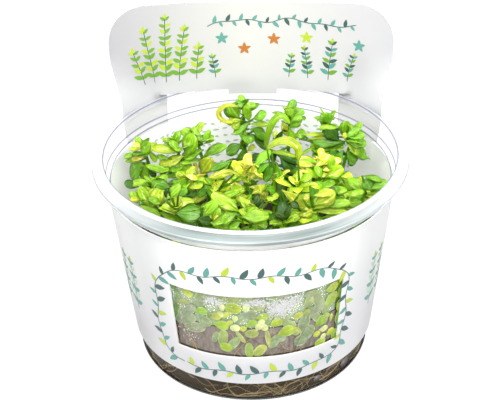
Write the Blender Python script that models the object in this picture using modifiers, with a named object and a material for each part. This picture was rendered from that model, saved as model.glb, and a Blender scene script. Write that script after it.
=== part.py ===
"""A tissue culture cup of Indian toothcup: a clear open tub with a stepped rim, a printed card
wrapped round it that stands up as a header behind the rim, an agar gel, and rooted shoots.
The cup's axis is Z, its foot is at z = 0, its front with the card's window faces -Y and the
header stands on the +Y side."""

import math
import random

import bmesh
import bpy
from mathutils import Matrix, Vector
from mathutils.bvhtree import BVHTree

MM = 0.001
GAP = 0.3 * MM

# Cup
CUP_HEIGHT = 71.0 * MM
RIM_RADIUS = 50.0 * MM
LIP_TOP = 68.9 * MM
LIP_BOTTOM = 67.8 * MM
NECK_OUTER_RADIUS = 46.9 * MM
NECK_WALL = 0.8 * MM
STEP_BOTTOM = 63.6 * MM
STEP_TOP = 64.6 * MM
WALL = 0.8 * MM
FLOOR = 0.8 * MM
FOOT_FILLET = 1.6 * MM
TAPER = 0.1123
CUP_STEPS = 48

# Sleeve card
CARD = 0.4 * MM
SLEEVE_BOTTOM = 8.8 * MM
SLEEVE_BOTTOM_RADIUS = 39.6 * MM
SLEEVE_TOP = 61.5 * MM
SLEEVE_FRONT_RISE = 1.7 * MM
WINDOW_BOTTOM = 20.2 * MM
WINDOW_TOP = 45.4 * MM
WINDOW_HALF_ANGLE = 37.4
WINDOW_TURN = 1.8

# Header of the card, with the slot that lets the rim through
HEADER_TURN = 1.8
HEADER_HALF_WIDTH = 48.7 * MM
HEADER_FLARE = 3.1 * MM
HEADER_FLARE_TOP = 88.0 * MM
HEADER_TOP = 103.4 * MM
HEADER_TOP_BOW = 904.0 * MM
HEADER_CORNER = 12.5 * MM
HEADER_BACK = 41.8 * MM
HEADER_BEND = 5.2
SLOT_HALF_WIDTH = 31.5 * MM
SLOT_TOP = 71.4 * MM
TAB_HALF_WIDTH = 8.2 * MM
TAB_BOTTOM = 69.5 * MM
NOTCH_WIDTH = 2.8 * MM
NOTCH_DEPTH = 1.8 * MM
STRIP_RADIUS = 50.8 * MM
STRIP_MIDWAY = 48.0 * MM
HEADER_FREE = 90.0 * MM

# Gel
GEL_TOP = 30.4 * MM
GEL_MENISCUS = 0.8 * MM
GEL_STEPS = 28
SOCKET_DEPTH = 5.0 * MM

# Shoots
STEM_RADIUS = 0.8 * MM
STEM_SIDES = 4
LEAF_LENGTH = 8.3 * MM
LEAF_WIDTH = 4.9 * MM
LEAF_THICKNESS = 0.55 * MM
LEAF_ROOT = 0.2 * MM
LEAF_SIDES = 6
LEAF_GREEN = (0.28, 0.5, 0.06)
LEAF_SHARP_ANGLE = 50
SEED = 11

# Tips of the shoots, as x, y and z in millimetres
BACK_TIPS = ((-2.0, 26.0, 73.5), (13.5, 22.5, 72.5), (25.6, 18.5, 71.5), (34.0, 14.0, 68.5),
             (-35.0, 13.0, 65.5), (-24.6, 12.5, 67.5), (-17.8, 14.0, 69.5))
MIDDLE_TIPS = ((-1.1, 5.5, 61.5), (23.0, 3.0, 65.0), (-11.3, -4.0, 61.0), (-20.5, -2.5, 62.5),
               (15.4, -5.5, 61.5), (7.4, -1.0, 62.5), (-31.5, 0.5, 58.5), (32.5, -1.5, 57.0))
FRONT_TIPS = ((-31.0, -15.5, 64.5), (-22.8, -23.0, 64.5), (-11.5, -31.0, 64.0),
              (-0.5, -32.5, 65.5), (9.8, -32.0, 65.0), (18.6, -24.5, 64.0),
              (28.6, -21.0, 64.0), (36.5, -11.0, 62.5), (0.8, -17.5, 60.5),
              (-10.4, -17.0, 60.0), (10.8, -15.5, 60.5))


def new_collection(name):
    collection = bpy.data.collections.new(name)
    bpy.context.scene.collection.children.link(collection)
    return collection


def new_object(name, mesh, collection):
    piece = bpy.data.objects.new(name, mesh)
    collection.objects.link(piece)
    return piece


def mark_cutter(piece):
    piece.hide_render = True
    piece.display_type = "WIRE"


def plain_material(name, colour, roughness, metallic=0.0, transmission=0.0, ior=1.5):
    material = bpy.data.materials.new(name)
    material.use_nodes = True
    shader = material.node_tree.nodes["Principled BSDF"]
    shader.inputs["Base Color"].default_value = (*colour, 1.0)
    shader.inputs["Roughness"].default_value = roughness
    shader.inputs["Metallic"].default_value = metallic
    shader.inputs["Transmission Weight"].default_value = transmission
    shader.inputs["IOR"].default_value = ior
    return material


def smoothstep(low, high, value):
    share = min(max((value - low) / (high - low), 0.0), 1.0)
    return share * share * (3.0 - 2.0 * share)


# Turned shapes

def wall_outer_radius(z):
    sleeve_inner = SLEEVE_BOTTOM_RADIUS - CARD / 2
    return sleeve_inner - GAP + TAPER * (z - SLEEVE_BOTTOM)


def wall_inner_radius(z):
    return wall_outer_radius(z) - WALL


def arc(centre_x, centre_z, radius, start, end, steps):
    points = []
    for step in range(steps + 1):
        angle = math.radians(start + (end - start) * step / steps)
        points.append((centre_x + radius * math.cos(angle), centre_z + radius * math.sin(angle)))
    return points


def turned(name, profile, steps, collection):
    mesh = bpy.data.meshes.new(name)
    verts = [(x, 0.0, z) for x, z in profile]
    edges = [(i, i + 1) for i in range(len(verts) - 1)]
    mesh.from_pydata(verts, edges, [])
    piece = new_object(name, mesh, collection)
    screw = piece.modifiers.new("Turn", "SCREW")
    screw.angle = math.radians(360)
    screw.steps = steps
    screw.render_steps = steps
    screw.use_merge_vertices = True
    screw.merge_threshold = 0.00001
    screw.use_smooth_shade = True
    return piece


def cup_profile():
    """From the middle of the floor up the inside, over the rim and down the outside."""
    inner_fillet = FOOT_FILLET - WALL / 2
    foot_inner = wall_inner_radius(FLOOR + inner_fillet)
    foot_outer = wall_outer_radius(FOOT_FILLET)
    neck_inner = NECK_OUTER_RADIUS - NECK_WALL
    lip = 0.7 * MM
    points = [(0.0, FLOOR)]
    points += arc(foot_inner - inner_fillet, FLOOR + inner_fillet, inner_fillet, -90, 0, 2)
    points.append((wall_inner_radius(STEP_BOTTOM), STEP_BOTTOM))
    points.append((neck_inner, STEP_TOP + 0.1 * MM))
    points += arc(neck_inner + 0.85 * MM, CUP_HEIGHT - 0.7 * MM, 0.7 * MM, 170, 70, 2)
    points.append((RIM_RADIUS, LIP_TOP - 0.1 * MM))
    points.append((RIM_RADIUS, LIP_BOTTOM))
    points.append((RIM_RADIUS - lip, LIP_BOTTOM))
    points.append((RIM_RADIUS - lip, LIP_TOP - 0.6 * MM))
    points.append((NECK_OUTER_RADIUS + 0.1 * MM, CUP_HEIGHT - 1.5 * MM))
    points.append((NECK_OUTER_RADIUS, STEP_TOP))
    points.append((wall_outer_radius(STEP_BOTTOM), STEP_BOTTOM))
    points += arc(foot_outer - FOOT_FILLET, FOOT_FILLET, FOOT_FILLET, 0, -90, 2)
    points.append((0.0, 0.0))
    return points


def build_cup(collection):
    cup = turned("cup", cup_profile(), CUP_STEPS, collection)
    colour = (0.93, 0.96, 0.96)
    cup.data.materials.append(plain_material("clear_plastic", colour, 0.04, transmission=1.0, ior=1.49))
    return cup


def gel_profile():
    bottom = FLOOR + GAP
    fillet = 1.6 * MM
    foot = wall_inner_radius(bottom + fillet) - GAP
    wall_top = GEL_TOP + GEL_MENISCUS
    points = [(0.0, GEL_TOP), (wall_inner_radius(GEL_TOP) - 2.6 * MM, GEL_TOP)]
    points.append((wall_inner_radius(wall_top) - GAP, wall_top))
    points += arc(foot - fillet, bottom + fillet, fillet, 0, -90, 2)
    points.append((0.0, bottom))
    return points


# Sleeve card

def header_place(lateral, across):
    """A point of the header's plan: lateral runs along it from its middle, across is its y there."""
    turn = math.radians(HEADER_TURN)
    x = lateral * math.cos(turn) + across * math.sin(turn)
    y = -lateral * math.sin(turn) + across * math.cos(turn)
    return x, y


def round_place(arc_length, radius):
    """A point that lies arc_length from the header's middle on a circle round the cup's axis."""
    angle = arc_length / radius
    return header_place(radius * math.sin(angle), radius * math.cos(angle))


def header_chord(arc_length):
    """The sideways distance that an arc length covers on the header's gentle bend."""
    slope = HEADER_BEND * 2 * arc_length
    return arc_length * (1 - slope * slope / 6)


def strip_radius(z):
    """How far out the card runs where it passes round the rim's lip."""
    sleeve = sleeve_radius(SLEEVE_TOP)
    if z <= 64.2 * MM:
        return sleeve + (STRIP_MIDWAY - sleeve) * smoothstep(SLEEVE_TOP, 64.2 * MM, z)
    return STRIP_MIDWAY + (STRIP_RADIUS - STRIP_MIDWAY) * smoothstep(64.2 * MM, 67.0 * MM, z)


def sleeve_radius(z):
    return SLEEVE_BOTTOM_RADIUS + TAPER * (z - SLEEVE_BOTTOM)


def flared(arc_length, z):
    """The header's flanks grow a little wider down where they pass the rim."""
    past = smoothstep(SLOT_HALF_WIDTH, HEADER_HALF_WIDTH, abs(arc_length))
    fall = 1.0 - smoothstep(LIP_TOP, HEADER_FLARE_TOP, z)
    return arc_length + math.copysign(HEADER_FLARE * past * fall, arc_length)


def header_point(arc_length, z):
    """The card's middle surface above the sleeve: round at the rim, gently bent above it."""
    arc_length = flared(arc_length, z)
    chord = header_chord(arc_length)
    bent_x, bent_y = header_place(chord, HEADER_BACK - HEADER_BEND * chord * chord)
    round_x, round_y = round_place(arc_length, strip_radius(z))
    middle = 1.0 - smoothstep(29.0 * MM, 40.0 * MM, abs(arc_length))
    if abs(arc_length) > TAB_HALF_WIDTH + GAP:
        middle *= smoothstep(TAB_BOTTOM - GAP, SLOT_TOP, z)
    above = smoothstep(TAB_BOTTOM, HEADER_FREE, z)
    share = above + middle * (1.0 - above) if z > TAB_BOTTOM - GAP else 0.0
    return Vector((round_x + (bent_x - round_x) * share, round_y + (bent_y - round_y) * share, z))


def header_top(arc_length):
    """The height of the header's top edge, with its rounded corners."""
    top = HEADER_TOP + arc_length * arc_length / HEADER_TOP_BOW
    past = abs(arc_length) - (HEADER_HALF_WIDTH - HEADER_CORNER)
    if past > 0:
        share = min(past / HEADER_CORNER, 1.0)
        top -= HEADER_CORNER * (1 - math.sqrt(max(1 - share * share, 0.0)))
    return top


def header_columns():
    """Arc lengths of the header's columns, from its middle to its right edge."""
    notch = SLOT_HALF_WIDTH - NOTCH_WIDTH
    columns = [0.0, TAB_HALF_WIDTH, 13.5 * MM, 18.5 * MM, 23.5 * MM, notch, SLOT_HALF_WIDTH]
    corner_start = HEADER_HALF_WIDTH - HEADER_CORNER
    for step in range(5):
        columns.append(corner_start + HEADER_CORNER * math.sin(math.radians(90 * step / 4)))
    return [-value for value in reversed(columns[1:])] + columns


def header_heights():
    return [TAB_BOTTOM, SLOT_TOP, 75.0 * MM, 80.0 * MM, 87.0 * MM, 95.0 * MM, HEADER_TOP]


def wrap_angles():
    """Angles of the sleeve's columns past the header's edges, from the back towards +X."""
    start = math.degrees(HEADER_HALF_WIDTH / sleeve_radius(SLEEVE_TOP)) + HEADER_TURN
    end = 360 - math.degrees(HEADER_HALF_WIDTH / sleeve_radius(SLEEVE_TOP)) + HEADER_TURN
    window_start = 180 - WINDOW_TURN - WINDOW_HALF_ANGLE
    window_end = 180 - WINDOW_TURN + WINDOW_HALF_ANGLE
    angles = []
    for low, high, steps in ((start, window_start, 8), (window_start, window_end, 9),
                             (window_end, end, 8)):
        angles += [low + (high - low) * step / steps for step in range(1, steps + 1)]
    return angles[:-1], window_start, window_end


def build_card_surface(mesh_name):
    """The card's middle surface: the cone round the cup, then the strips and the header."""
    bm = bmesh.new()
    lateral = header_columns()
    angles, window_start, window_end = wrap_angles()
    reference = sleeve_radius(SLEEVE_TOP)
    columns = [math.degrees(value / reference) + HEADER_TURN for value in lateral] + angles
    low_heights = [SLEEVE_BOTTOM, WINDOW_BOTTOM, WINDOW_TOP, SLEEVE_TOP - NOTCH_DEPTH]
    grid = []
    for index, degrees in enumerate(columns):
        angle = math.radians(degrees)
        rise = 0.0 if index < len(lateral) else ((1 - math.cos(angle)) / 2) ** 3
        column = []
        for z in low_heights + [SLEEVE_TOP + SLEEVE_FRONT_RISE * rise]:
            radius = sleeve_radius(z)
            column.append(bm.verts.new((radius * math.sin(angle), radius * math.cos(angle), z)))
        grid.append(column)
    add_sleeve_faces(bm, grid, columns, lateral, window_start, window_end)
    add_header_faces(bm, grid, lateral)
    mesh = bpy.data.meshes.new(mesh_name)
    bmesh.ops.delete(bm, geom=[v for v in bm.verts if not v.link_faces], context="VERTS")
    bm.to_mesh(mesh)
    bm.free()
    return mesh


def add_sleeve_faces(bm, grid, columns, lateral, window_start, window_end):
    count = len(grid)
    for index in range(count):
        after = (index + 1) % count
        middle = columns[index] + 0.5
        in_window = window_start < middle < window_end
        in_notch = False
        if index < len(lateral) - 1:
            centre = abs(lateral[index] + lateral[index + 1]) / 2
            in_notch = SLOT_HALF_WIDTH - NOTCH_WIDTH < centre < SLOT_HALF_WIDTH
        for row in range(4):
            if (row == 1 and in_window) or (row == 3 and in_notch):
                continue
            bm.faces.new((grid[index][row], grid[index][row + 1],
                          grid[after][row + 1], grid[after][row]))


def add_header_faces(bm, grid, lateral):
    """Strips each side of the slot, the tab at its middle and the header above it."""
    heights = [64.2 * MM, 67.0 * MM] + header_heights()
    slot_row = heights.index(SLOT_TOP)
    upper = []
    for index, value in enumerate(lateral):
        column = [grid[index][4]]
        squeeze = (header_top(value) - SLOT_TOP) / (HEADER_TOP - SLOT_TOP)
        for z in heights:
            place = z if z <= SLOT_TOP else SLOT_TOP + (z - SLOT_TOP) * squeeze
            column.append(bm.verts.new(header_point(value, place)))
        upper.append(column)
    for index in range(len(lateral) - 1):
        centre = abs(lateral[index] + lateral[index + 1]) / 2
        first = 0
        if centre < TAB_HALF_WIDTH:
            first = slot_row
        elif centre < SLOT_HALF_WIDTH:
            first = slot_row + 1
        for row in range(first, len(heights)):
            bm.faces.new((upper[index][row], upper[index][row + 1],
                          upper[index + 1][row + 1], upper[index + 1][row]))


def build_sleeve(collection):
    card = new_object("sleeve_card", build_card_surface("sleeve_card"), collection)
    solidify = card.modifiers.new("Card", "SOLIDIFY")
    solidify.thickness = CARD
    solidify.offset = 0.0
    card.data.shade_smooth()
    card.data.materials.append(plain_material("white_card", (0.92, 0.92, 0.93), 0.55))
    return card


# Shoots

def leaf_mesh(leaf, swell=0.0):
    """A leaf blade: a flat six-sided bead drawn out to an egg-shaped, blunt outline."""
    bm = bmesh.new()
    bmesh.ops.create_uvsphere(bm, u_segments=LEAF_SIDES, v_segments=2, radius=1.0,
                              matrix=Matrix.Rotation(math.pi / LEAF_SIDES, 4, "Z"))
    for vert in bm.verts:
        along = ((1.0 - vert.co.x) / 2) ** 0.85
        width = 0.14 + 0.86 * smoothstep(0.0, 0.6, along)
        across = vert.co.y * width * (leaf["width"] / 2 + swell)
        lift = vert.co.z * (LEAF_THICKNESS / 2 + swell)
        bend = -leaf["droop"] * along * along * leaf["length"]
        fold = 0.22 * abs(across)
        vert.co = Vector((along * (leaf["length"] + swell), across, lift + bend + fold))
    bm.transform(leaf["matrix"])
    return bm


def leaf_matrix(origin, azimuth, elevation, roll):
    turn = Matrix.Rotation(azimuth, 4, "Z") @ Matrix.Rotation(-elevation, 4, "Y")
    root = Matrix.Translation((-LEAF_ROOT, 0.0, 0.0))
    return Matrix.Translation(origin) @ turn @ Matrix.Rotation(roll, 4, "X") @ root


def stem_curve(base, tip, sway):
    """Points of a stem: straight up out of its socket, then leaning over to its tip."""
    start = Vector((base.x, base.y, GEL_TOP - SOCKET_DEPTH + GAP))
    knee = Vector((base.x, base.y, GEL_TOP + 2.0 * MM))
    points = [start, knee]
    pull = Vector((base.x + sway.x, base.y + sway.y, (knee.z + tip.z) / 2))
    for step in (1, 2, 3):
        share = step / 3
        low = knee.lerp(pull, share)
        high = pull.lerp(tip, share)
        points.append(low.lerp(high, share))
    return points


def point_on(points, share):
    """The place and direction at a share of the way from a stem's knee to its tip."""
    place = share * (len(points) - 2)
    index = min(int(place), len(points) - 3)
    low = points[index + 1]
    high = points[index + 2]
    return low.lerp(high, place - index), (high - low).normalized()


def inside_cup(points):
    for point in points:
        radius = math.hypot(point.x, point.y)
        if point.z < GEL_TOP + 0.6 * MM:
            return False
        if point.z < STEP_TOP and radius > wall_inner_radius(point.z) - 0.5 * MM:
            return False
        if point.z >= STEP_TOP and radius > NECK_OUTER_RADIUS - NECK_WALL - 0.6 * MM:
            return False
        if point.z > TAB_BOTTOM - MM and point.y > HEADER_BACK - HEADER_BEND * point.x ** 2 - MM:
            return False
    return True


def tree_of(bm):
    return BVHTree.FromBMesh(bm)


def stem_tree(points):
    """A loose tube round a stem, for telling which leaves of other shoots would touch it."""
    bm = bmesh.new()
    for low, high in zip(points, points[1:]):
        axis = high - low
        ring = bmesh.ops.create_cone(bm, segments=5, radius1=STEM_RADIUS + GAP,
                                     radius2=STEM_RADIUS + GAP, depth=axis.length)
        turn = axis.to_track_quat("Z", "Y").to_matrix().to_4x4()
        bmesh.ops.transform(bm, matrix=Matrix.Translation((low + high) / 2) @ turn,
                            verts=ring["verts"])
    tree = tree_of(bm)
    bm.free()
    return tree


def try_leaf(leaf, others):
    bm = leaf_mesh(leaf, swell=0.35 * MM)
    fits = inside_cup([vert.co for vert in bm.verts])
    if fits:
        tree = tree_of(bm)
        fits = not any(tree.overlap(other) for other in others)
    bm.free()
    return fits


def grow_leaf(rng, place, azimuth, elevation, size, others):
    """The first of a few poses of a leaf that keeps clear of the other shoots and the cup."""
    for turn, rise, scale in ((0, 0, 1.0), (14, 8, 1.0), (-14, 8, 1.0), (26, -6, 0.95),
                              (-26, -6, 0.95), (8, 26, 0.9), (-8, 38, 0.8), (40, 16, 0.8),
                              (-40, 16, 0.8), (0, 52, 0.75)):
        leaf = {"length": LEAF_LENGTH * size * scale, "width": LEAF_WIDTH * size * scale,
                "droop": 0.12 + 0.2 * rng.random()}
        leaf["matrix"] = leaf_matrix(place, azimuth + math.radians(turn),
                                     math.radians(min(elevation + rise, 84)),
                                     math.radians(rng.uniform(-18, 18)))
        if try_leaf(leaf, others):
            return leaf
    return None


def leaf_levels():
    """Places of the leaf pairs up a stem, with the leaves' size and how steeply they rise."""
    return ((0.5, 0.95, 14), (0.74, 1.0, 22), (0.9, 0.9, 36), (0.97, 0.62, 64))


def plan_shoots():
    """Every shoot with its stem and the leaves that fit it, clear of every other shoot."""
    rng = random.Random(SEED)
    shoots = []
    for x, y, z in BACK_TIPS + MIDDLE_TIPS + FRONT_TIPS:
        tip = Vector((x, y, z)) * MM
        pull = rng.uniform(0.78, 0.9)
        base = Vector((tip.x * pull + rng.uniform(-2, 2) * MM,
                       tip.y * pull + rng.uniform(-2, 2) * MM, GEL_TOP))
        sway = Vector((rng.uniform(-2.5, 2.5) * MM, rng.uniform(-2.5, 2.5) * MM, 0.0))
        points = stem_curve(base, tip, sway)
        shoots.append({"points": points, "leaves": [], "trees": [stem_tree(points)],
                       "turn": rng.uniform(0, math.pi)})
    for level, (share, size, elevation) in enumerate(reversed(leaf_levels())):
        for shoot in shoots:
            others = [tree for other in shoots if other is not shoot for tree in other["trees"]]
            place, direction = point_on(shoot["points"], share)
            for side in (0, 1):
                azimuth = shoot["turn"] + math.pi * side + math.pi / 2 * level
                azimuth += rng.uniform(-0.25, 0.25)
                lean = direction.x * math.cos(azimuth) + direction.y * math.sin(azimuth)
                rise = elevation + rng.uniform(-8, 10) - 30 * lean
                leaf = grow_leaf(rng, place, azimuth, rise, size * rng.uniform(0.88, 1.08), others)
                if leaf:
                    shoot["leaves"].append(leaf)
                    bm = leaf_mesh(leaf)
                    shoot["trees"].append(tree_of(bm))
                    bm.free()
    return shoots


def stem_mesh(name, points, collection):
    """The stem as a tube on its curve, made a mesh with its end caps welded on."""
    curve = bpy.data.curves.new(name, "CURVE")
    curve.dimensions = "3D"
    curve.bevel_depth = STEM_RADIUS
    curve.bevel_resolution = 0
    curve.use_fill_caps = True
    spline = curve.splines.new("POLY")
    spline.points.add(len(points) - 1)
    for index, (spot, point) in enumerate(zip(spline.points, points)):
        spot.co = (*point, 1.0)
        spot.radius = 1.0 - 0.2 * index / (len(points) - 1)
    guide = new_object(name, curve, collection)
    bpy.context.view_layer.update()
    evaluated = guide.evaluated_get(bpy.context.evaluated_depsgraph_get())
    mesh = bpy.data.meshes.new_from_object(evaluated)
    bpy.data.objects.remove(guide)
    bpy.data.curves.remove(curve)
    bm = bmesh.new()
    bm.from_mesh(mesh)
    bmesh.ops.remove_doubles(bm, verts=bm.verts, dist=0.00001)
    bmesh.ops.recalc_face_normals(bm, faces=bm.faces)
    bm.to_mesh(mesh)
    bm.free()
    return mesh


def fuse(piece, operands):
    """Joins the operand meshes to a piece in one closed body."""
    for operand in operands:
        union = piece.modifiers.new("Join", "BOOLEAN")
        union.operation = "UNION"
        union.solver = "EXACT"
        union.object = operand
    bpy.context.view_layer.update()
    evaluated = piece.evaluated_get(bpy.context.evaluated_depsgraph_get())
    mesh = bpy.data.meshes.new_from_object(evaluated)
    piece.modifiers.clear()
    piece.data = mesh
    bm = bmesh.new()
    bm.from_mesh(mesh)
    bmesh.ops.dissolve_limit(bm, angle_limit=math.radians(0.5), verts=bm.verts, edges=bm.edges)
    bmesh.ops.triangulate(bm, faces=bm.faces)
    bm.to_mesh(mesh)
    bm.free()
    for operand in operands:
        bpy.data.objects.remove(operand)


def build_shoot(name, shoot, material, parts, cutters):
    piece = new_object(name, stem_mesh(name, shoot["points"], cutters), parts)
    blades = []
    for leaf in shoot["leaves"]:
        bm = leaf_mesh(leaf)
        mesh = bpy.data.meshes.new("leaf")
        bm.to_mesh(mesh)
        bm.free()
        blades.append(new_object("leaf", mesh, cutters))
    fuse(piece, blades)
    piece.data.shade_smooth()
    piece.data.set_sharp_from_angle(angle=math.radians(LEAF_SHARP_ANGLE))
    piece.data.materials.clear()
    piece.data.materials.append(material)
    return piece


def build_gel(shoots, parts, cutters):
    gel = turned("gel", gel_profile(), GEL_STEPS, parts)
    gel.data.materials.append(plain_material("agar_gel", (0.06, 0.05, 0.035), 0.25))
    sockets = bpy.data.collections.new("sockets")
    cutters.children.link(sockets)
    for shoot in shoots:
        foot = shoot["points"][0]
        height = SOCKET_DEPTH + 2.0 * MM
        bpy.ops.mesh.primitive_cylinder_add(
            vertices=STEM_SIDES, radius=STEM_RADIUS + 0.45 * MM, depth=height,
            location=(foot.x, foot.y, GEL_TOP - SOCKET_DEPTH + height / 2))
        cutter = bpy.context.object
        cutter.name = "socket"
        for owner in list(cutter.users_collection):
            owner.objects.unlink(cutter)
        sockets.objects.link(cutter)
        mark_cutter(cutter)
    cut = gel.modifiers.new("Sockets", "BOOLEAN")
    cut.operation = "DIFFERENCE"
    cut.solver = "EXACT"
    cut.operand_type = "COLLECTION"
    cut.collection = sockets
    return gel


def main():
    for piece in list(bpy.data.objects):
        bpy.data.objects.remove(piece)
    parts = new_collection("toothcup_tissue_culture_cup")
    cutters = new_collection("cutters")
    build_cup(parts)
    build_sleeve(parts)
    shoots = plan_shoots()
    build_gel(shoots, parts, cutters)
    for index, shoot in enumerate(shoots):
        name = f"shoot_{index + 1:02d}"
        build_shoot(name, shoot, plain_material(f"{name}_green", LEAF_GREEN, 0.4), parts, cutters)


main()
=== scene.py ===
import math
import random

import bmesh
import bpy
import numpy as np
from mathutils import Matrix, Vector
from mathutils.bvhtree import BVHTree


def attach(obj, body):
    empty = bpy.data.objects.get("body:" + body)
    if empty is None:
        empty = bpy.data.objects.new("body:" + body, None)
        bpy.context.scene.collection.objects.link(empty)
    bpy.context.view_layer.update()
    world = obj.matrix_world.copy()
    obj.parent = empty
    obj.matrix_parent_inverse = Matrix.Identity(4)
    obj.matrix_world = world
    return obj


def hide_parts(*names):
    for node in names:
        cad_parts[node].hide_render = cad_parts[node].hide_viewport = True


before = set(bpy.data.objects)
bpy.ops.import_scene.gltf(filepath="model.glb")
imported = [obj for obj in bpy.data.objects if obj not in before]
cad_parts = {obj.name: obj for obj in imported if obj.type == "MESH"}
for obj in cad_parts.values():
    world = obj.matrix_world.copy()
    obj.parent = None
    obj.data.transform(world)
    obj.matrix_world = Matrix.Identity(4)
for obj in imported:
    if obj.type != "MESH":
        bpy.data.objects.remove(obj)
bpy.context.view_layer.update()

MM = 0.001
GAP = 0.3 * MM

# Sizes of the solids, as in the part

CUP_HEIGHT = 71.0 * MM
RIM_RADIUS = 50.0 * MM
LIP_TOP = 68.9 * MM
LIP_BOTTOM = 67.8 * MM
LIP_THICKNESS = 0.7 * MM
NECK_OUTER_RADIUS = 46.9 * MM
NECK_WALL = 0.8 * MM
NECK_INNER_RADIUS = NECK_OUTER_RADIUS - NECK_WALL
STEP_BOTTOM = 63.6 * MM
STEP_TOP = 64.6 * MM
WALL = 0.8 * MM
FLOOR = 0.8 * MM
FOOT_FILLET = 1.6 * MM
TAPER = 0.1123

CARD = 0.4 * MM
SLEEVE_BOTTOM = 8.8 * MM
SLEEVE_BOTTOM_RADIUS = 39.6 * MM
SLEEVE_TOP = 61.5 * MM
SLEEVE_FRONT_RISE = 1.7 * MM
WINDOW_BOTTOM = 20.2 * MM
WINDOW_TOP = 45.4 * MM
WINDOW_HALF_ANGLE = 37.4
WINDOW_TURN = 1.8

HEADER_TURN = 1.8
HEADER_HALF_WIDTH = 48.7 * MM
HEADER_FLARE = 3.1 * MM
HEADER_FLARE_TOP = 88.0 * MM
HEADER_TOP = 103.4 * MM
HEADER_TOP_BOW = 904.0 * MM
HEADER_CORNER = 12.5 * MM
HEADER_BACK = 41.8 * MM
HEADER_BEND = 5.2
HEADER_FREE = 90.0 * MM
SLOT_HALF_WIDTH = 31.5 * MM
SLOT_TOP = 71.4 * MM
TAB_HALF_WIDTH = 8.2 * MM
TAB_BOTTOM = 69.5 * MM
NOTCH_WIDTH = 2.8 * MM
NOTCH_DEPTH = 1.8 * MM
STRIP_RADIUS = 50.8 * MM
STRIP_MIDWAY_RADIUS = 48.0 * MM
STRIP_MIDWAY = 64.2 * MM
STRIP_END = 67.0 * MM
FOLD_START = 29.0 * MM
FOLD_END = 40.0 * MM

GEL_TOP = 30.4 * MM
GEL_MENISCUS = 0.8 * MM
GEL_CONTACT = 0.05 * MM
GEL_FOOT_FILLET = 1.2 * MM
SOCKET_DEPTH = 5.0 * MM

STEM_RADIUS = 0.8 * MM
LEAF_LENGTH = 8.3 * MM
LEAF_WIDTH = 4.9 * MM
LEAF_THICKNESS = 0.55 * MM
LEAF_ROOT = 0.2 * MM
LEAF_SIDES = 6
SEED = 11

BACK_TIPS = ((-2.0, 26.0, 73.5), (13.5, 22.5, 72.5), (25.6, 18.5, 71.5), (34.0, 14.0, 68.5),
             (-35.0, 13.0, 65.5), (-24.6, 12.5, 67.5), (-17.8, 14.0, 69.5))
MIDDLE_TIPS = ((-1.1, 5.5, 61.5), (23.0, 3.0, 65.0), (-11.3, -4.0, 61.0), (-20.5, -2.5, 62.5),
               (15.4, -5.5, 61.5), (7.4, -1.0, 62.5), (-31.5, 0.5, 58.5), (32.5, -1.5, 57.0))
FRONT_TIPS = ((-31.0, -15.5, 64.5), (-22.8, -23.0, 64.5), (-11.5, -31.0, 64.0),
              (-0.5, -32.5, 65.5), (9.8, -32.0, 65.0), (18.6, -24.5, 64.0),
              (28.6, -21.0, 64.0), (36.5, -11.0, 62.5), (0.8, -17.5, 60.5),
              (-10.4, -17.0, 60.0), (10.8, -15.5, 60.5))

# Camera, fitted to the outlines of rim, ledge, card and base

CAMERA_PLACE = Vector((-0.395, -361.476, 277.774)) * MM
CAMERA_ELEVATION = math.radians(31.96)
CAMERA_ROLL = math.radians(-1.245)
CAMERA_LENS = 94.877
SENSOR_WIDTH = 36.0
PICTURE_WIDTH = 500
PICTURE_HEIGHT = 400
FOCAL_PIXELS = CAMERA_LENS / SENSOR_WIDTH * PICTURE_WIDTH


def camera_axes():
    sine, cosine = math.sin(CAMERA_ELEVATION), math.cos(CAMERA_ELEVATION)
    forward, right, up = Vector((0, cosine, -sine)), Vector((1, 0, 0)), Vector((0, sine, cosine))
    x_axis = right * math.cos(CAMERA_ROLL) + up * math.sin(CAMERA_ROLL)
    y_axis = -right * math.sin(CAMERA_ROLL) + up * math.cos(CAMERA_ROLL)
    return forward, x_axis, y_axis


def to_pixel(point):
    forward, x_axis, y_axis = camera_axes()
    offset = point - CAMERA_PLACE
    scale = FOCAL_PIXELS / offset.dot(forward)
    return (PICTURE_WIDTH / 2 + offset.dot(x_axis) * scale,
            PICTURE_HEIGHT / 2 - offset.dot(y_axis) * scale)


def from_pixel(x, y, depth):
    """The point seen at a pixel whose world Y is depth."""
    forward, x_axis, y_axis = camera_axes()
    ray = (forward + x_axis * ((x - PICTURE_WIDTH / 2) / FOCAL_PIXELS)
           + y_axis * ((PICTURE_HEIGHT / 2 - y) / FOCAL_PIXELS))
    return CAMERA_PLACE + ray * ((depth - CAMERA_PLACE.y) / ray.y)


# Mesh building

def smoothstep(low, high, value):
    share = min(max((value - low) / (high - low), 0.0), 1.0)
    return share * share * (3.0 - 2.0 * share)


def spaced(low, high, count):
    """Even steps from just past low up to high."""
    return [low + (high - low) * step / count for step in range(1, count + 1)]


def from_front(radius, angle, z):
    """A point round the cup's axis, at an angle from the front towards +X."""
    return Vector((radius * math.sin(angle), -radius * math.cos(angle), z))


def from_back(radius, angle, z):
    """A point round the cup's axis, at an angle from the back towards +X."""
    return Vector((radius * math.sin(angle), radius * math.cos(angle), z))


def new_object(name, data):
    piece = bpy.data.objects.new(name, data)
    bpy.context.scene.collection.objects.link(piece)
    return piece


def new_piece(name, points, faces, smooth=True):
    mesh = bpy.data.meshes.new(name)
    mesh.from_pydata(points, [], faces)
    if smooth:
        mesh.shade_smooth()
    return new_object(name, mesh)


def complete(piece, slot_name, materials, *replaced):
    """Gives a piece its materials and body, and hides the nodes that it replaces; its slot name is not
    used.
    """
    for material in materials:
        piece.data.materials.append(material)
    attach(piece, "root")
    if replaced:
        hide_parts(*replaced)


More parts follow.
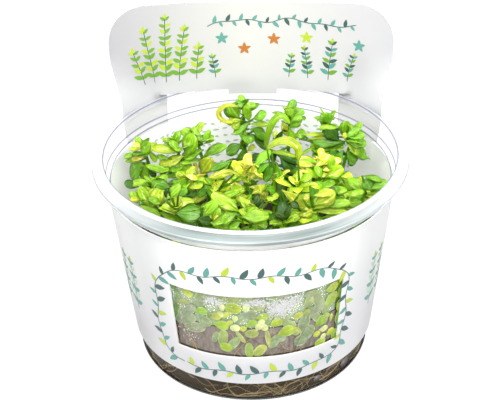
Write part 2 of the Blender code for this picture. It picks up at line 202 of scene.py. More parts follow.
class Soup:
    """Gathers closed shapes with their point colours, to make one piece of them."""

    def __init__(self):
        self.points = []
        self.faces = []
        self.layers = {}
        self.count = 0

    def add(self, points, faces, **layers):
        points = np.asarray(points, dtype=float)
        self.points.append(points)
        self.faces += [[index + self.count for index in face] for face in faces]
        for name, values in layers.items():
            values = np.asarray(values, dtype=float)
            if values.ndim == 1:
                values = np.tile(values, (len(points), 1))
            self.layers.setdefault(name, []).append(values)
        self.count += len(points)

    def build(self, name, slot_name, material, *replaced, smooth=True):
        piece = new_piece(name, np.concatenate(self.points).tolist(), self.faces, smooth)
        for layer, blocks in self.layers.items():
            values = np.concatenate(blocks)
            rgba = np.ones((self.count, 4))
            rgba[:, :values.shape[1]] = values
            attribute = piece.data.color_attributes.new(layer, "FLOAT_COLOR", "POINT")
            attribute.data.foreach_set("color", rgba.ravel())
        piece.data.update()
        complete(piece, slot_name, (material,), *replaced)


def ring_faces(rings, size):
    """Faces of a closed skin over a row of rings."""
    faces = []
    for low in range(0, (rings - 1) * size, size):
        for place in range(size):
            after = (place + 1) % size
            faces.append((low + place, low + after, low + size + after, low + size + place))
    last = (rings - 1) * size
    return faces + [tuple(reversed(range(size))), tuple(range(last, last + size))]


def tube(points, radii, sides):
    """A closed tube along points, with a radius at each."""
    points = [Vector(point) for point in points]
    verts = []
    side_axis = None
    for index, point in enumerate(points):
        axis = (points[min(index + 1, len(points) - 1)] - points[max(index - 1, 0)]).normalized()
        if side_axis is None:
            side_axis = axis.orthogonal().normalized()
        side_axis = (side_axis - axis * side_axis.dot(axis)).normalized()
        other = axis.cross(side_axis)
        for side in range(sides):
            angle = 2 * math.pi * side / sides
            offset = side_axis * math.cos(angle) + other * math.sin(angle)
            verts.append(tuple(point + offset * radii[index]))
    return verts, ring_faces(len(points), sides)


def smooth_path(points, steps):
    """A smooth curve through points."""
    smooth = []
    for index in range(len(points) - 1):
        p0 = points[max(index - 1, 0)]
        p1 = points[index]
        p2 = points[index + 1]
        p3 = points[min(index + 2, len(points) - 1)]
        for step in range(steps):
            t = step / steps
            smooth.append(0.5 * ((2 * p1) + (p2 - p0) * t + (2 * p0 - 5 * p1 + 4 * p2 - p3) * t * t
                                 + (3 * p1 - p0 - 3 * p2 + p3) * t ** 3))
    return smooth + [points[-1]]


def arc_round(corner, before, after, radius, steps=4):
    """Points that round a corner of a profile."""
    corner = np.array(corner)
    to_before = np.array(before) - corner
    to_after = np.array(after) - corner
    reach = min(radius, 0.45 * np.linalg.norm(to_before), 0.45 * np.linalg.norm(to_after))
    start = corner + to_before / np.linalg.norm(to_before) * reach
    end = corner + to_after / np.linalg.norm(to_after) * reach
    shares = [step / steps for step in range(steps + 1)]
    return [tuple((1 - share) ** 2 * start + 2 * share * (1 - share) * corner + share ** 2 * end)
            for share in shares]


def lathe(name, corners, turns):
    """A closed turned body. Its (radius, height, rounding) corners run from axis to axis."""
    inner = []
    for before, corner, after in zip(corners, corners[1:], corners[2:]):
        rounding = corner[2]
        if rounding:
            inner += arc_round(corner[:2], before[:2], after[:2], rounding)
        else:
            inner.append(corner[:2])
    verts = [(0.0, 0.0, corners[0][1]), (0.0, 0.0, corners[-1][1])]
    rows = len(inner)
    for turn in range(turns):
        angle = 2 * math.pi * turn / turns
        verts += [(radius * math.cos(angle), radius * math.sin(angle), height)
                  for radius, height in inner]
    faces = []
    for turn in range(turns):
        low = 2 + turn * rows
        high = 2 + (turn + 1) % turns * rows
        faces.append((0, low, high))
        faces += [(low + row, low + row + 1, high + row + 1, high + row) for row in range(rows - 1)]
        faces.append((1, high + rows - 1, low + rows - 1))
    body = new_piece(name, verts, faces)
    bm = bmesh.new()
    bm.from_mesh(body.data)
    bmesh.ops.recalc_face_normals(bm, faces=bm.faces)
    bm.to_mesh(body.data)
    bm.free()
    return body


# Materials

SOCKETS = {"colour": "Base Color", "rough": "Roughness", "ior": "IOR", "clear": "Transmission Weight",
           "cover": "Alpha", "shine": "Specular IOR Level", "normal": "Normal", "glow": "Emission Color",
           "glow_strength": "Emission Strength"}


def shade(colour, gain, most=1.0):
    """A darker or brighter colour, with no part of it above the most."""
    return tuple(min(gain * value, most) for value in colour[:3])


class Paint:
    """One material. Each method that adds a node returns the socket with its result."""

    def __init__(self, name, **values):
        self.material = bpy.data.materials.new(name)
        self.material.use_nodes = True
        self.tree = self.material.node_tree
        self.shader = self.tree.nodes["Principled BSDF"]
        self.use(**values)

    def use(self, **values):
        """Sets the shader's own sockets."""
        for name, value in values.items():
            self.give(self.shader.inputs[SOCKETS[name]], value)

    def give(self, socket, value):
        """Sets a socket to a number or colour, or links it to another socket."""
        if isinstance(value, (int, float)):
            socket.default_value = value
        elif isinstance(value, tuple):
            socket.default_value = (*value, 1.0) if len(socket.default_value) > len(value) else value
        else:
            self.tree.links.new(value, socket)

    def add(self, kind, inputs, output=0, **settings):
        made = self.tree.nodes.new(kind)
        for key, value in settings.items():
            setattr(made, key, value)
        for key, value in dict(inputs).items():
            self.give(made.inputs[key], value)
        return made.outputs[output]

    def math(self, operation, *values, clamp=False):
        return self.add("ShaderNodeMath", enumerate(values), operation=operation, use_clamp=clamp)

    def mix(self, factor, first, second, blend="MIX"):
        return self.add("ShaderNodeMix", {0: factor, 6: first, 7: second}, 2,
                        data_type="RGBA", blend_type=blend)

    def times(self, first, second):
        return self.mix(1.0, first, second, "MULTIPLY")

    def ramp(self, value, low, high, to_low=0.0, to_high=1.0):
        """A value spread from low and high to other ends, and held between them."""
        return self.add("ShaderNodeMapRange", {"Value": value, "From Min": low, "From Max": high,
                                               "To Min": to_low, "To Max": to_high}, "Result")

    def place(self):
        return self.add("ShaderNodeTexCoord", {}, "Object")

    def axes(self):
        """The place along X, Y and Z."""
        return self.add("ShaderNodeSeparateXYZ", {0: self.place()}).node.outputs

    def vector(self, *parts):
        """A vector of values, each of them scaled where its part is a (value, scale) pair."""
        scaled = [self.math("MULTIPLY", *part) if isinstance(part, tuple) else part for part in parts]
        return self.add("ShaderNodeCombineXYZ", enumerate(scaled))

    def noise(self, scale, detail=3.0, roughness=0.55, place=None):
        return self.add("ShaderNodeTexNoise", {"Vector": place or self.place(), "Scale": scale,
                                               "Detail": detail, "Roughness": roughness}, "Fac")

    def attribute(self, name):
        return self.add("ShaderNodeAttribute", {}, "Color", attribute_name=name)

    def bump(self, height, strength, distance):
        self.use(normal=self.add("ShaderNodeBump", {"Height": height, "Strength": strength,
                                                    "Distance": distance}, "Normal"))

    def shine_through(self, colour, share):
        through = self.add("ShaderNodeBsdfTranslucent", {"Color": colour})
        both = self.add("ShaderNodeMixShader", {0: share, 1: self.shader.outputs[0], 2: through})
        self.give(self.tree.nodes["Material Output"].inputs["Surface"], both)


def grainy(name, scale, dark, light, **values):
    """A material whose colour wanders between two, in grains of a scale."""
    paint = Paint(name, **values)
    paint.use(colour=paint.mix(paint.noise(scale, 2.0), dark, light))
    return paint.material


# Cup

# Colour and cover at the front, then at the sides and back, of the thicker parts of the rim. All of them
# are painted light: the lip carries painted shade at the front, where the dark inside shows through it, the
# top edge and the neck under the lip carry painted highlights, and the fine edge lines are painted dark
# lines.
LIP_PAINTED_LOOK = (0.22, 0.27, 0.26, 0.6), (0.9, 0.91, 0.95, 0.2)
LIP_EDGE_PAINTED_LOOK = (0.8, 0.85, 0.84, 0.75), (0.85, 0.86, 0.92, 0.3)
NECK_PAINTED_LOOK = (1.0, 1.0, 1.0, 0.95), (0.95, 0.95, 0.95, 0.1)
EDGE_LINE_PAINTED_LOOK = (0.5, 0.57, 0.57, 0.5), (0.12, 0.13, 0.2, 0.75)
RIM_BAND = 0.75 * MM
EDGE_LINE_REACH = 0.27 * MM
PLASTIC_IOR = 1.45
# Numbers of the cup's materials, in the order of cup_materials
WALL_ZONE, GEL_ZONE, LIP_ZONE, LIP_EDGE_ZONE, NECK_ZONE, EDGE_LINE_ZONE = range(6)


def wall_outer_radius(z):
    return SLEEVE_BOTTOM_RADIUS - CARD / 2 - GAP + TAPER * (z - SLEEVE_BOTTOM)


def wall_inner_radius(z):
    return wall_outer_radius(z) - WALL


def rim_plastic_with_painted_light(name, clearness, look):
    """Thicker plastic with painted light: bands of painted highlight and shade along the rim, fading from
    its front look to its back look.
    """
    front, back = look
    paint = Paint(name, rough=0.3, ior=PLASTIC_IOR, clear=clearness)
    x, y, _ = paint.axes()
    backward = paint.ramp(y, -44 * MM, -16 * MM)
    reach = paint.add("ShaderNodeVectorMath", {0: paint.vector(x, y)}, "Value",
                      operation="LENGTH")
    lanes = paint.vector((x, 34.0), (reach, 1100.0))
    # The streaks are painted highlight and shade, in bands round the rim.
    streak = paint.ramp(paint.noise(1.0, 2.0, 0.5, lanes), 0.35, 0.65)
    streaked = paint.mix(streak, shade(front, 0.62), shade(front, 1.35, 0.95))
    paint.use(colour=paint.mix(backward, streaked, back[:3]),
              cover=paint.ramp(backward, 0.0, 1.0, front[3], back[3]))
    return paint.material


def cup_materials():
    clear = {"colour": (0.9, 0.95, 0.94), "rough": 0.05, "ior": PLASTIC_IOR, "clear": 1.0}
    return (Paint("clear_plastic", cover=0.045, **clear).material,
            Paint("clear_plastic_on_gel", cover=1.0, **clear).material,
            rim_plastic_with_painted_light("lip_plastic", 0.3, LIP_PAINTED_LOOK),
            rim_plastic_with_painted_light("lip_edge_plastic", 0.3, LIP_EDGE_PAINTED_LOOK),
            rim_plastic_with_painted_light("neck_plastic", 0.1, NECK_PAINTED_LOOK),
            rim_plastic_with_painted_light("edge_line_plastic", 0.2, EDGE_LINE_PAINTED_LOOK))


def cup_corners():
    return [
        (0.0, FLOOR, 0),
        (wall_inner_radius(FLOOR), FLOOR, (FOOT_FILLET - WALL / 2) * 1.3),
        (wall_inner_radius(STEP_BOTTOM), STEP_BOTTOM, 0.5 * MM),
        (NECK_INNER_RADIUS, STEP_TOP + 0.1 * MM, 0.5 * MM),
        (NECK_INNER_RADIUS + 0.15 * MM, CUP_HEIGHT, 0.45 * MM),
        (NECK_INNER_RADIUS + 1.5 * MM, CUP_HEIGHT - 0.05 * MM, 0.7 * MM),
        (RIM_RADIUS, LIP_TOP, 0.45 * MM),
        (RIM_RADIUS, LIP_BOTTOM, 0.15 * MM),
        (RIM_RADIUS - LIP_THICKNESS, LIP_BOTTOM, 0.15 * MM),
        (RIM_RADIUS - LIP_THICKNESS, LIP_TOP - 0.6 * MM, 0.2 * MM),
        (NECK_OUTER_RADIUS + 0.1 * MM, CUP_HEIGHT - 1.5 * MM, 0.4 * MM),
        (NECK_OUTER_RADIUS, STEP_TOP, 0.5 * MM),
        (wall_outer_radius(STEP_BOTTOM), STEP_BOTTOM, 0.5 * MM),
        (wall_outer_radius(0.0), 0.0, FOOT_FILLET),
        (0.0, 0.0, 0),
    ]


def cup_zone(reach, height):
    """Material number of a face of the cup, from how far out and how high it is."""
    fine_lines = ((NECK_INNER_RADIUS + 0.25 * MM, CUP_HEIGHT - 0.1 * MM), (RIM_RADIUS, LIP_TOP),
                  (NECK_INNER_RADIUS - 0.1 * MM, STEP_TOP + 0.1 * MM),
                  (wall_inner_radius(STEP_BOTTOM), STEP_BOTTOM))
    if any(math.hypot(reach - r, height - z) < EDGE_LINE_REACH for r, z in fine_lines):
        return EDGE_LINE_ZONE
    if height > CUP_HEIGHT - RIM_BAND:
        return LIP_EDGE_ZONE
    if SLEEVE_TOP < height < LIP_TOP and reach < NECK_OUTER_RADIUS + 0.2 * MM:
        return NECK_ZONE
    if height > SLEEVE_TOP:
        return LIP_ZONE
    return GEL_ZONE if height < GEL_TOP else WALL_ZONE


def build_cup():
    cup = lathe("clear_cup", cup_corners(), 192)
    for polygon in cup.data.polygons:
        centre = polygon.center
        polygon.material_index = cup_zone(math.hypot(centre.x, centre.y), centre.z)
    complete(cup, "clear_plastic", cup_materials(), "cup")


# Card

CARD_INSIDE = (0.98, 0.98, 0.95)
CARD_OUTSIDE = (0.85, 0.85, 0.88)
CARD_THROUGH = 0.35
# Painted shade: the sleeve's colour towards its sides and low at the front, and the header's grey from left
# to right, at its foot and behind the neck
SIDE_PAINTED_SHADE = (0.66, 0.66, 0.69)
LOW_PAINTED_SHADE = (0.58, 0.58, 0.61)
HEADER_LEFT_PAINTED_SHADE = (0.33, 0.325, 0.345)
HEADER_MIDDLE_PAINTED_SHADE = (0.485, 0.485, 0.455)
HEADER_RIGHT_PAINTED_SHADE = (0.43, 0.425, 0.445)
HEADER_FOOT_PAINTED_SHADE = (0.5, 0.5, 0.51)
STRIP_PAINTED_SHADE = (0.34, 0.34, 0.335)
# Middle and radius, at the height of the floor, of the round that the sleeve's painted shade follows
SLEEVE_MIDDLE = 1.2 * MM
SHADED_RADIUS = 38.6 * MM
# How many degrees past a column its panel is judged to be in the window or not
PANEL_PROBE = 0.3
# Heights of the rows of the strips beside the slot, in millimetres
STRIP_ROWS = (62.3, 63.2, 64.2, 65.1, 66.0, 67.0, 68.2)


def sleeve_shading(paint, shown):
    """Painted shade on the sleeve towards both sides, and low at the front."""
    x, y, z = paint.axes()
    radius = paint.math("ADD", paint.math("MULTIPLY", z, TAPER), SHADED_RADIUS)
    share = paint.math("DIVIDE", paint.math("ABSOLUTE", paint.math("SUBTRACT", x, SLEEVE_MIDDLE)), radius)
    low = paint.math("MULTIPLY", paint.ramp(z, 34 * MM, 17 * MM), paint.ramp(y, 0.0, -20 * MM))
    shown = paint.mix(low, shown, LOW_PAINTED_SHADE)
    beside = paint.math("MINIMUM", paint.ramp(share, 0.5, 0.72), paint.ramp(share, 0.95, 0.8))
    return paint.mix(beside, shown, SIDE_PAINTED_SHADE)


def header_shading(paint, shown):
    """Painted shade over the header from left to right, paler at its foot and darker behind the neck."""
    x, _, z = paint.axes()
    left = paint.mix(paint.ramp(x, -48 * MM, 0.0), HEADER_LEFT_PAINTED_SHADE, HEADER_MIDDLE_PAINTED_SHADE)
    shaded = paint.mix(paint.ramp(x, 0.0, 48 * MM), left, HEADER_RIGHT_PAINTED_SHADE)
    shaded = paint.mix(paint.ramp(z, 66 * MM, 82 * MM), HEADER_FOOT_PAINTED_SHADE, shaded)
    shaded = paint.mix(paint.ramp(z, 69 * MM, 67.5 * MM), shaded, STRIP_PAINTED_SHADE)
    return paint.mix(paint.ramp(z, SLEEVE_TOP - MM, SLEEVE_TOP + MM), shown, shaded)


def card_material(name, colour, through_share=0.0, shading=None):
    paint = Paint(name, rough=0.5, shine=0.35)
    shown = paint.mix(paint.noise(900.0, 4.0), shade(colour, 0.97), colour)
    paint.use(colour=shading(paint, shown) if shading else shown)
    paint.bump(paint.noise(1600.0, 4.0), 0.06, 0.1 * MM)
    if through_share:
        paint.shine_through((1.0, 1.0, 0.98), through_share)
    return paint.material


def turned_place(lateral, across):
    """A place behind the cup, turned about the axis as the header is."""
    sine, cosine = math.sin(math.radians(HEADER_TURN)), math.cos(math.radians(HEADER_TURN))
    return lateral * cosine + across * sine, -lateral * sine + across * cosine


def sleeve_radius(z):
    return SLEEVE_BOTTOM_RADIUS + TAPER * (z - SLEEVE_BOTTOM)


def strip_radius(z):
    """Radius of the strips that carry the header past the rim."""
    sleeve = sleeve_radius(SLEEVE_TOP)
    if z <= STRIP_MIDWAY:
        return sleeve + (STRIP_MIDWAY_RADIUS - sleeve) * smoothstep(SLEEVE_TOP, STRIP_MIDWAY, z)
    past = smoothstep(STRIP_MIDWAY, STRIP_END, z)
    return STRIP_MIDWAY_RADIUS + (STRIP_RADIUS - STRIP_MIDWAY_RADIUS) * past


def header_point(arc_length, z):
    """A point of the header or its strips, which leave the sleeve round and end in a flatter bend."""
    flare = HEADER_FLARE * smoothstep(SLOT_HALF_WIDTH, HEADER_HALF_WIDTH, abs(arc_length))
    flare *= 1.0 - smoothstep(LIP_TOP, HEADER_FLARE_TOP, z)
    arc_length += math.copysign(flare, arc_length)
    slope = HEADER_BEND * 2 * arc_length
    chord = arc_length * (1 - slope * slope / 6)
    bent_x, bent_y = turned_place(chord, HEADER_BACK - HEADER_BEND * chord * chord)
    radius = strip_radius(z)
    angle = arc_length / radius
    round_x, round_y = turned_place(radius * math.sin(angle), radius * math.cos(angle))
    middle = 1.0 - smoothstep(FOLD_START, FOLD_END, abs(arc_length))
    if abs(arc_length) > TAB_HALF_WIDTH + GAP:
        middle *= smoothstep(TAB_BOTTOM - GAP, SLOT_TOP, z)
    above = smoothstep(TAB_BOTTOM, HEADER_FREE, z)
    share = above + middle * (1.0 - above) if z > TAB_BOTTOM - GAP else 0.0
    return Vector((round_x + (bent_x - round_x) * share, round_y + (bent_y - round_y) * share, z))


def header_top(arc_length):
    top = HEADER_TOP + arc_length * arc_length / HEADER_TOP_BOW
    past = abs(arc_length) - (HEADER_HALF_WIDTH - HEADER_CORNER)
    if past > 0:
        share = min(past / HEADER_CORNER, 1.0)
        top -= HEADER_CORNER * (1 - math.sqrt(max(1 - share * share, 0.0)))
    return top


def header_columns():
    """Arc lengths of the header's fine columns, from its left edge to its right edge."""
    notch = SLOT_HALF_WIDTH - NOTCH_WIDTH
    corner_start = HEADER_HALF_WIDTH - HEADER_CORNER
    right = [TAB_HALF_WIDTH * share for share in (0.0, 0.25, 0.5, 0.75, 0.94, 1.0)]
    right += spaced(TAB_HALF_WIDTH, notch, 12) + [notch + NOTCH_WIDTH / 2, SLOT_HALF_WIDTH]
    right += [SLOT_HALF_WIDTH + (corner_start - SLOT_HALF_WIDTH) * share for share in (0.35, 0.7)]
    right += [corner_start + HEADER_CORNER * math.sin(math.radians(90 * step / 12)) for step in range(13)]
    return [-value for value in reversed(right[1:])] + right


def sleeve_angles():
    """Angles of the columns past the header's edges, and where the window starts and ends."""
    edge = math.degrees(HEADER_HALF_WIDTH / sleeve_radius(SLEEVE_TOP))
    window_start = 180 - WINDOW_TURN - WINDOW_HALF_ANGLE
    window_end = 180 - WINDOW_TURN + WINDOW_HALF_ANGLE
    angles = spaced(edge + HEADER_TURN, window_start, 32) + spaced(window_start, window_end, 36)
    return angles + spaced(window_end, 360 - edge + HEADER_TURN, 32)[:-1], window_start, window_end


def sleeve_heights():
    return ([SLEEVE_BOTTOM] + spaced(SLEEVE_BOTTOM, WINDOW_BOTTOM, 4)
            + spaced(WINDOW_BOTTOM, WINDOW_TOP, 8) + spaced(WINDOW_TOP, SLEEVE_TOP - NOTCH_DEPTH, 5))


def sleeve_faces(bm, lateral):
    """Fills the sleeve round its window and notches, and gives its columns of points."""
    angles, window_start, window_end = sleeve_angles()
    reference = sleeve_radius(SLEEVE_TOP)
    columns = [math.degrees(value / reference) + HEADER_TURN for value in lateral] + angles
    heights = sleeve_heights()
    grid = []
    for index, degrees in enumerate(columns):
        angle = math.radians(degrees)
        rise = 0.0 if index < len(lateral) else ((1 - math.cos(angle)) / 2) ** 3
        grid.append([bm.verts.new(from_back(sleeve_radius(z), angle, z))
                     for z in heights + [SLEEVE_TOP + SLEEVE_FRONT_RISE * rise]])
    for index in range(len(grid)):
        after = (index + 1) % len(grid)
        in_window = window_start < columns[index] + PANEL_PROBE < window_end
        in_notch = False
        if index < len(lateral) - 1:
            centre = abs(lateral[index] + lateral[index + 1]) / 2
            in_notch = SLOT_HALF_WIDTH - NOTCH_WIDTH < centre < SLOT_HALF_WIDTH
        for row in range(len(heights)):
            beside_window = WINDOW_BOTTOM <= heights[row] < WINDOW_TOP - GAP
            if (beside_window and in_window) or (row == len(heights) - 1 and in_notch):
                continue
            bm.faces.new((grid[index][row], grid[index][row + 1], grid[after][row + 1], grid[after][row]))
    return grid


def header_faces(bm, grid, lateral):
    """Carries the sleeve's back up past the rim, round the slot and its tab, to the header's top."""
    heights = [z * MM for z in STRIP_ROWS] + [TAB_BOTTOM, SLOT_TOP]
    slot_row = heights.index(SLOT_TOP)
    heights += spaced(SLOT_TOP, HEADER_TOP, 20)
    upper = []
    for index, value in enumerate(lateral):
        squeeze = (header_top(value) - SLOT_TOP) / (HEADER_TOP - SLOT_TOP)
        places = [z if z <= SLOT_TOP else SLOT_TOP + (z - SLOT_TOP) * squeeze for z in heights]
        upper.append([grid[index][-1]] + [bm.verts.new(header_point(value, z)) for z in places])
    for index in range(len(lateral) - 1):
        centre = abs(lateral[index] + lateral[index + 1]) / 2
        first = 0
        if centre < SLOT_HALF_WIDTH:
            first = slot_row if centre < TAB_HALF_WIDTH else slot_row + 1
        for row in range(first, len(heights)):
            bm.faces.new((upper[index][row], upper[index][row + 1],
                          upper[index + 1][row + 1], upper[index + 1][row]))


def thicken(piece, thickness):
    """Gives a sheet its thickness and applies it, with its cut edges left crisp."""
    solidify = piece.modifiers.new("Thickness", "SOLIDIFY")
    solidify.thickness = thickness
    solidify.offset = 0.0
    evaluated = piece.evaluated_get(bpy.context.evaluated_depsgraph_get())
    mesh = bpy.data.meshes.new_from_object(evaluated)
    piece.modifiers.clear()
    piece.data = mesh
    mesh.shade_smooth()
    mesh.set_sharp_from_angle(angle=math.radians(50))


def build_card():
    bm = bmesh.new()
    lateral = header_columns()
    header_faces(bm, sleeve_faces(bm, lateral), lateral)
    bmesh.ops.delete(bm, geom=[vert for vert in bm.verts if not vert.link_faces], context="VERTS")
    mesh = bpy.data.meshes.new("card")
    bm.to_mesh(mesh)
    bm.free()
    card = new_object("card_sleeve_and_header", mesh)
    thicken(card, CARD)
    for polygon in card.data.polygons:
        centre = polygon.center
        outward = polygon.normal.x * centre.x + polygon.normal.y * centre.y > 0
        polygon.material_index = int(outward) + (2 if centre.z > SLEEVE_TOP else 0)
    materials = (card_material("card_inside", CARD_INSIDE, CARD_THROUGH),
                 card_material("card_outside", CARD_OUTSIDE, CARD_THROUGH, sleeve_shading),
                 card_material("header_front", CARD_INSIDE, shading=header_shading),
                 card_material("header_back", CARD_OUTSIDE))
    complete(card, "white_card", materials, "sleeve_card")


# Print on the card

INKS = {"dark": (0.035, 0.085, 0.078), "teal": (0.085, 0.27, 0.225), "lime": (0.37, 0.47, 0.03),
        "green": (0.13, 0.29, 0.03), "ochre": (0.4, 0.14, 0.02), "pale": (0.45, 0.58, 0.44)}
INK_LIFTS = (0.02 * MM, 0.05 * MM)
HEADER_PROBE = 0.2 * MM

# Sizes and places of the print are in millimetres
WINDOW_VINE = ((-23, 13.6), (-30.5, 17), (-32.5, 25), (-33, 36), (-31.5, 46), (-25, 51.2),
               (-12, 52.6), (0, 53), (12, 52.6), (25, 51.2), (31, 46), (31.5, 36), (30.5, 25),
               (28.5, 17), (21, 13.6), (8, 13.4), (-8, 13.4), (-20, 13.5), (-23, 13.6))
HEADER_VINE = ((-15, 95), (-6, 97), (4, 96.2), (14, 97.4), (24, 96), (36, 97))
VINE_LINE = 0.3
SPRIG_LINE = 0.26
SLEEVE_SPRIG_FOOT = 24.0
SLEEVE_SPRIG_HEIGHT = 20.0
HEADER_SPRIG_FOOT = 76.0
# Arc length and lean of each sprig on the sleeve
SLEEVE_SPRIGS = ((45.0, 1.5), (53.0, -1.0), (-45.0, -1.5), (-53.0, 1.0))
# Arc length, height and lean of each sprig on the header
HEADER_SPRIGS = ((-38.5, 13.0, -2.0), (-34.0, 20.0, -2.4), (-29.5, 23.5, 0.6), (-25.0, 19.0, 2.6),
                 (-19.0, 12.0, 1.2), (-12.5, 8.0, -1.0), (12.5, 8.0, 1.0), (19.0, 11.0, -1.2),
                 (26.0, 14.0, 1.4), (33.0, 10.0, 2.0))
BLOSSOMS = ((-10, 90.5, "teal"), (-2.5, 86.5, "ochre"), (7.5, 90, "ochre"), (36.5, 90, "teal"),
            (18.5, 91, "lime"))
PALE_ROWS = 9
PALE_ROW_STEP = 2.5
PALE_TOP = 57.4
PALE_REACH = 38.0
PALE_WIDTH = 0.75


def on_sleeve(arc_length, z, lift):
    """A point on the sleeve's outside, at an arc length from the front towards +X."""
    return from_front(sleeve_radius(z) + CARD / 2 + lift, arc_length / sleeve_radius(z), z)


def on_back_wall(arc_length, z, lift):
    """A point on the sleeve's inside, at an arc length from the back towards +X."""
    angle = arc_length / sleeve_radius(z) + math.radians(HEADER_TURN)
    return from_back(sleeve_radius(z) - CARD / 2 - lift, angle, z)


def on_header(arc_length, z, lift):
    """A point on the header's front face."""
    point = header_point(arc_length, z)
    sideways = header_point(arc_length + HEADER_PROBE, z) - point
    upward = header_point(arc_length, z + HEADER_PROBE) - point
    return point + sideways.cross(upward).normalized() * (CARD / 2 + lift)


def across_run(u, v, run_u, run_v, half, sides):
    """A row of places across a run, each a number of half widths to the side of its middle."""
    return [((u - half * side * run_v) * MM, (v + half * side * run_u) * MM) for side in sides]


class Print:
    """Thin closed shapes of ink on one surface of the card, one piece for each ink."""

    def __init__(self, name, surface):
        self.name = name
        self.surface = surface
        self.soups = {}

    def patch(self, colour, grid):
        """A thin slab over a grid of (arc length, height) rows."""
        columns = len(grid[0])
        top = len(grid) * columns
        verts = [self.surface(u, v, lift) for lift in INK_LIFTS for row in grid for u, v in row]
        faces = []
        for row in range(0, top - columns, columns):
            for low in range(row, row + columns - 1):
                faces.append((low, low + columns, low + columns + 1, low + 1))
                faces.append((top + low, top + low + 1, top + low + columns + 1, top + low + columns))
        edge = [*range(columns), *range(2 * columns - 1, top, columns),
                *range(top - 2, top - columns - 1, -1), *range(top - 2 * columns, 0, -columns)]
        faces += [(low, after, top + after, top + low) for low, after in zip(edge, edge[1:] + edge[:1])]
        self.soups.setdefault(colour, Soup()).add(verts, faces)

    def leaf(self, colour, u, v, length, width, angle, bend=0.0):
        """A pointed leaf from its root, at an angle in degrees."""
        steps = max(5, int(length * 1.6))
        grid = []
        for step in range(steps + 1):
            share = step / steps
            turn = math.radians(angle + bend * share)
            run_u, run_v = math.cos(turn), math.sin(turn)
            half = width / 2 * math.sin(math.pi * share ** 0.8) ** 0.85 + 0.02
            along = length * share
            grid.append(across_run(u + along * run_u, v + along * run_v, run_u, run_v, half,
                                   (-1.0, -0.5, 0.0, 0.5, 1.0)))
        self.patch(colour, grid)

    def line(self, colour, points, width):
        """A line of even width through points, narrower at both ends."""
        middle = smooth_path([Vector((u, v, 0)) for u, v in points], 6)
        last = len(middle) - 1
        grid = []
        for index, point in enumerate(middle):
            run = (middle[min(index + 1, last)] - middle[max(index - 1, 0)]).normalized()
            half = width / 2 * (1.0 if 0 < index < last else 0.4)
            grid.append(across_run(point.x, point.y, run.x, run.y, half, (-1.0, 1.0)))
        self.patch(colour, grid)

    def build(self, materials):
        for colour, soup in self.soups.items():
            soup.build(f"{self.name}_{colour}_ink", "white_card", materials[colour], smooth=False)


def vine(sheet, corners, inks, size, spacing, wave):
    """A stem through the corner points with leaves on both sides."""
    path = smooth_path([Vector((u, v, 0)) for u, v in corners], 24)
    points = []
    travelled = spacing
    for before, after in zip(path, path[1:]):
        travelled += (after - before).length
        if travelled >= spacing:
            travelled -= spacing
            run = (after - before).normalized()
            bow = wave * math.sin(1.15 * len(points))
            points.append((after.x - run.y * bow, after.y + run.x * bow))
    sheet.line(inks[0], points, VINE_LINE)
    for index in range(1, len(points) - 1):
        u, v = points[index]
        heading = math.degrees(math.atan2(points[index + 1][1] - v, points[index + 1][0] - u))
        side = 1 if index % 2 else -1
        grown = size * (0.8 + 0.35 * math.sin(1.7 * index) ** 2)
        sheet.leaf(inks[index % len(inks)], u, v, grown, grown * 0.44, heading + 46 * side, 14 * side)


def sprig(sheet, u, v, height, lean, inks, leaf_size):
    """One stem that bows to a side, with leaf pairs up to a bud."""
    def stem(share):
        return u + lean * share ** 1.5, v + height * share

    sheet.line("dark", [stem(step / 5) for step in range(6)], SPRIG_LINE)
    pairs = int(height / (leaf_size * 0.62))
    for pair in range(1, pairs + 1):
        share = pair / (pairs + 0.4)
        grown = leaf_size * (1.05 - 0.45 * share)
        tilt = 38 + 14 * (pair % 2)
        for side in (-1, 1):
            sheet.leaf(inks[(pair + side) % len(inks)], *stem(share), grown, grown * 0.46,
                       90 - side * tilt - lean * 1.5, -8 * side)
    tip_u, tip_v = stem(1.0)
    sheet.leaf("lime", tip_u, tip_v - 0.4, leaf_size * 0.6, leaf_size * 0.32, 90 - lean * 2)


def blossom(sheet, u, v, colour, size, petals=5):
    for petal in range(petals):
        sheet.leaf(colour, u, v, size, size * 0.5, 360 * petal / petals + 18)


def pale_marks(sheet):
    """Rows of small pale marks."""
    rng = random.Random(3)
    for row in range(PALE_ROWS):
        u = 1.5 * (row % 2) - PALE_REACH
        while u < PALE_REACH:
            length = rng.uniform(1.4, 2.6)
            sheet.leaf("pale", u, PALE_TOP - PALE_ROW_STEP * row, length, PALE_WIDTH, rng.uniform(-25, 25))
            u += length + rng.uniform(0.5, 1.6)


def build_print():
    materials = {name: grainy(f"{name}_ink", 1500.0, shade(colour, 0.88), colour, rough=0.42)
                 for name, colour in INKS.items()}
    front = Print("sleeve_print", on_sleeve)
    vine(front, WINDOW_VINE, ("dark", "teal", "dark", "lime", "teal"), 3.9, 2.7, 0.5)
    for u, lean in SLEEVE_SPRIGS:
        sprig(front, u, SLEEVE_SPRIG_FOOT, SLEEVE_SPRIG_HEIGHT, lean, ("teal", "pale"), 4.2)
    front.build(materials)

    header = Print("header_print", on_header)
    for u, height, lean in HEADER_SPRIGS:
        inks = ("green", "lime", "green") if u < -18 else ("teal", "dark", "green")
        sprig(header, u, HEADER_SPRIG_FOOT, height, lean, inks, 3.6 if height > 11 else 2.8)
    vine(header, HEADER_VINE, ("dark", "teal", "teal"), 2.7, 2.2, 0.4)
    for u, v, colour in BLOSSOMS:
        blossom(header, u, v, colour, 2.3)
    header.build(materials)

    wall = Print("back_wall_print", on_back_wall)
    pale_marks(wall)
    wall.build(materials)


# Gel and roots

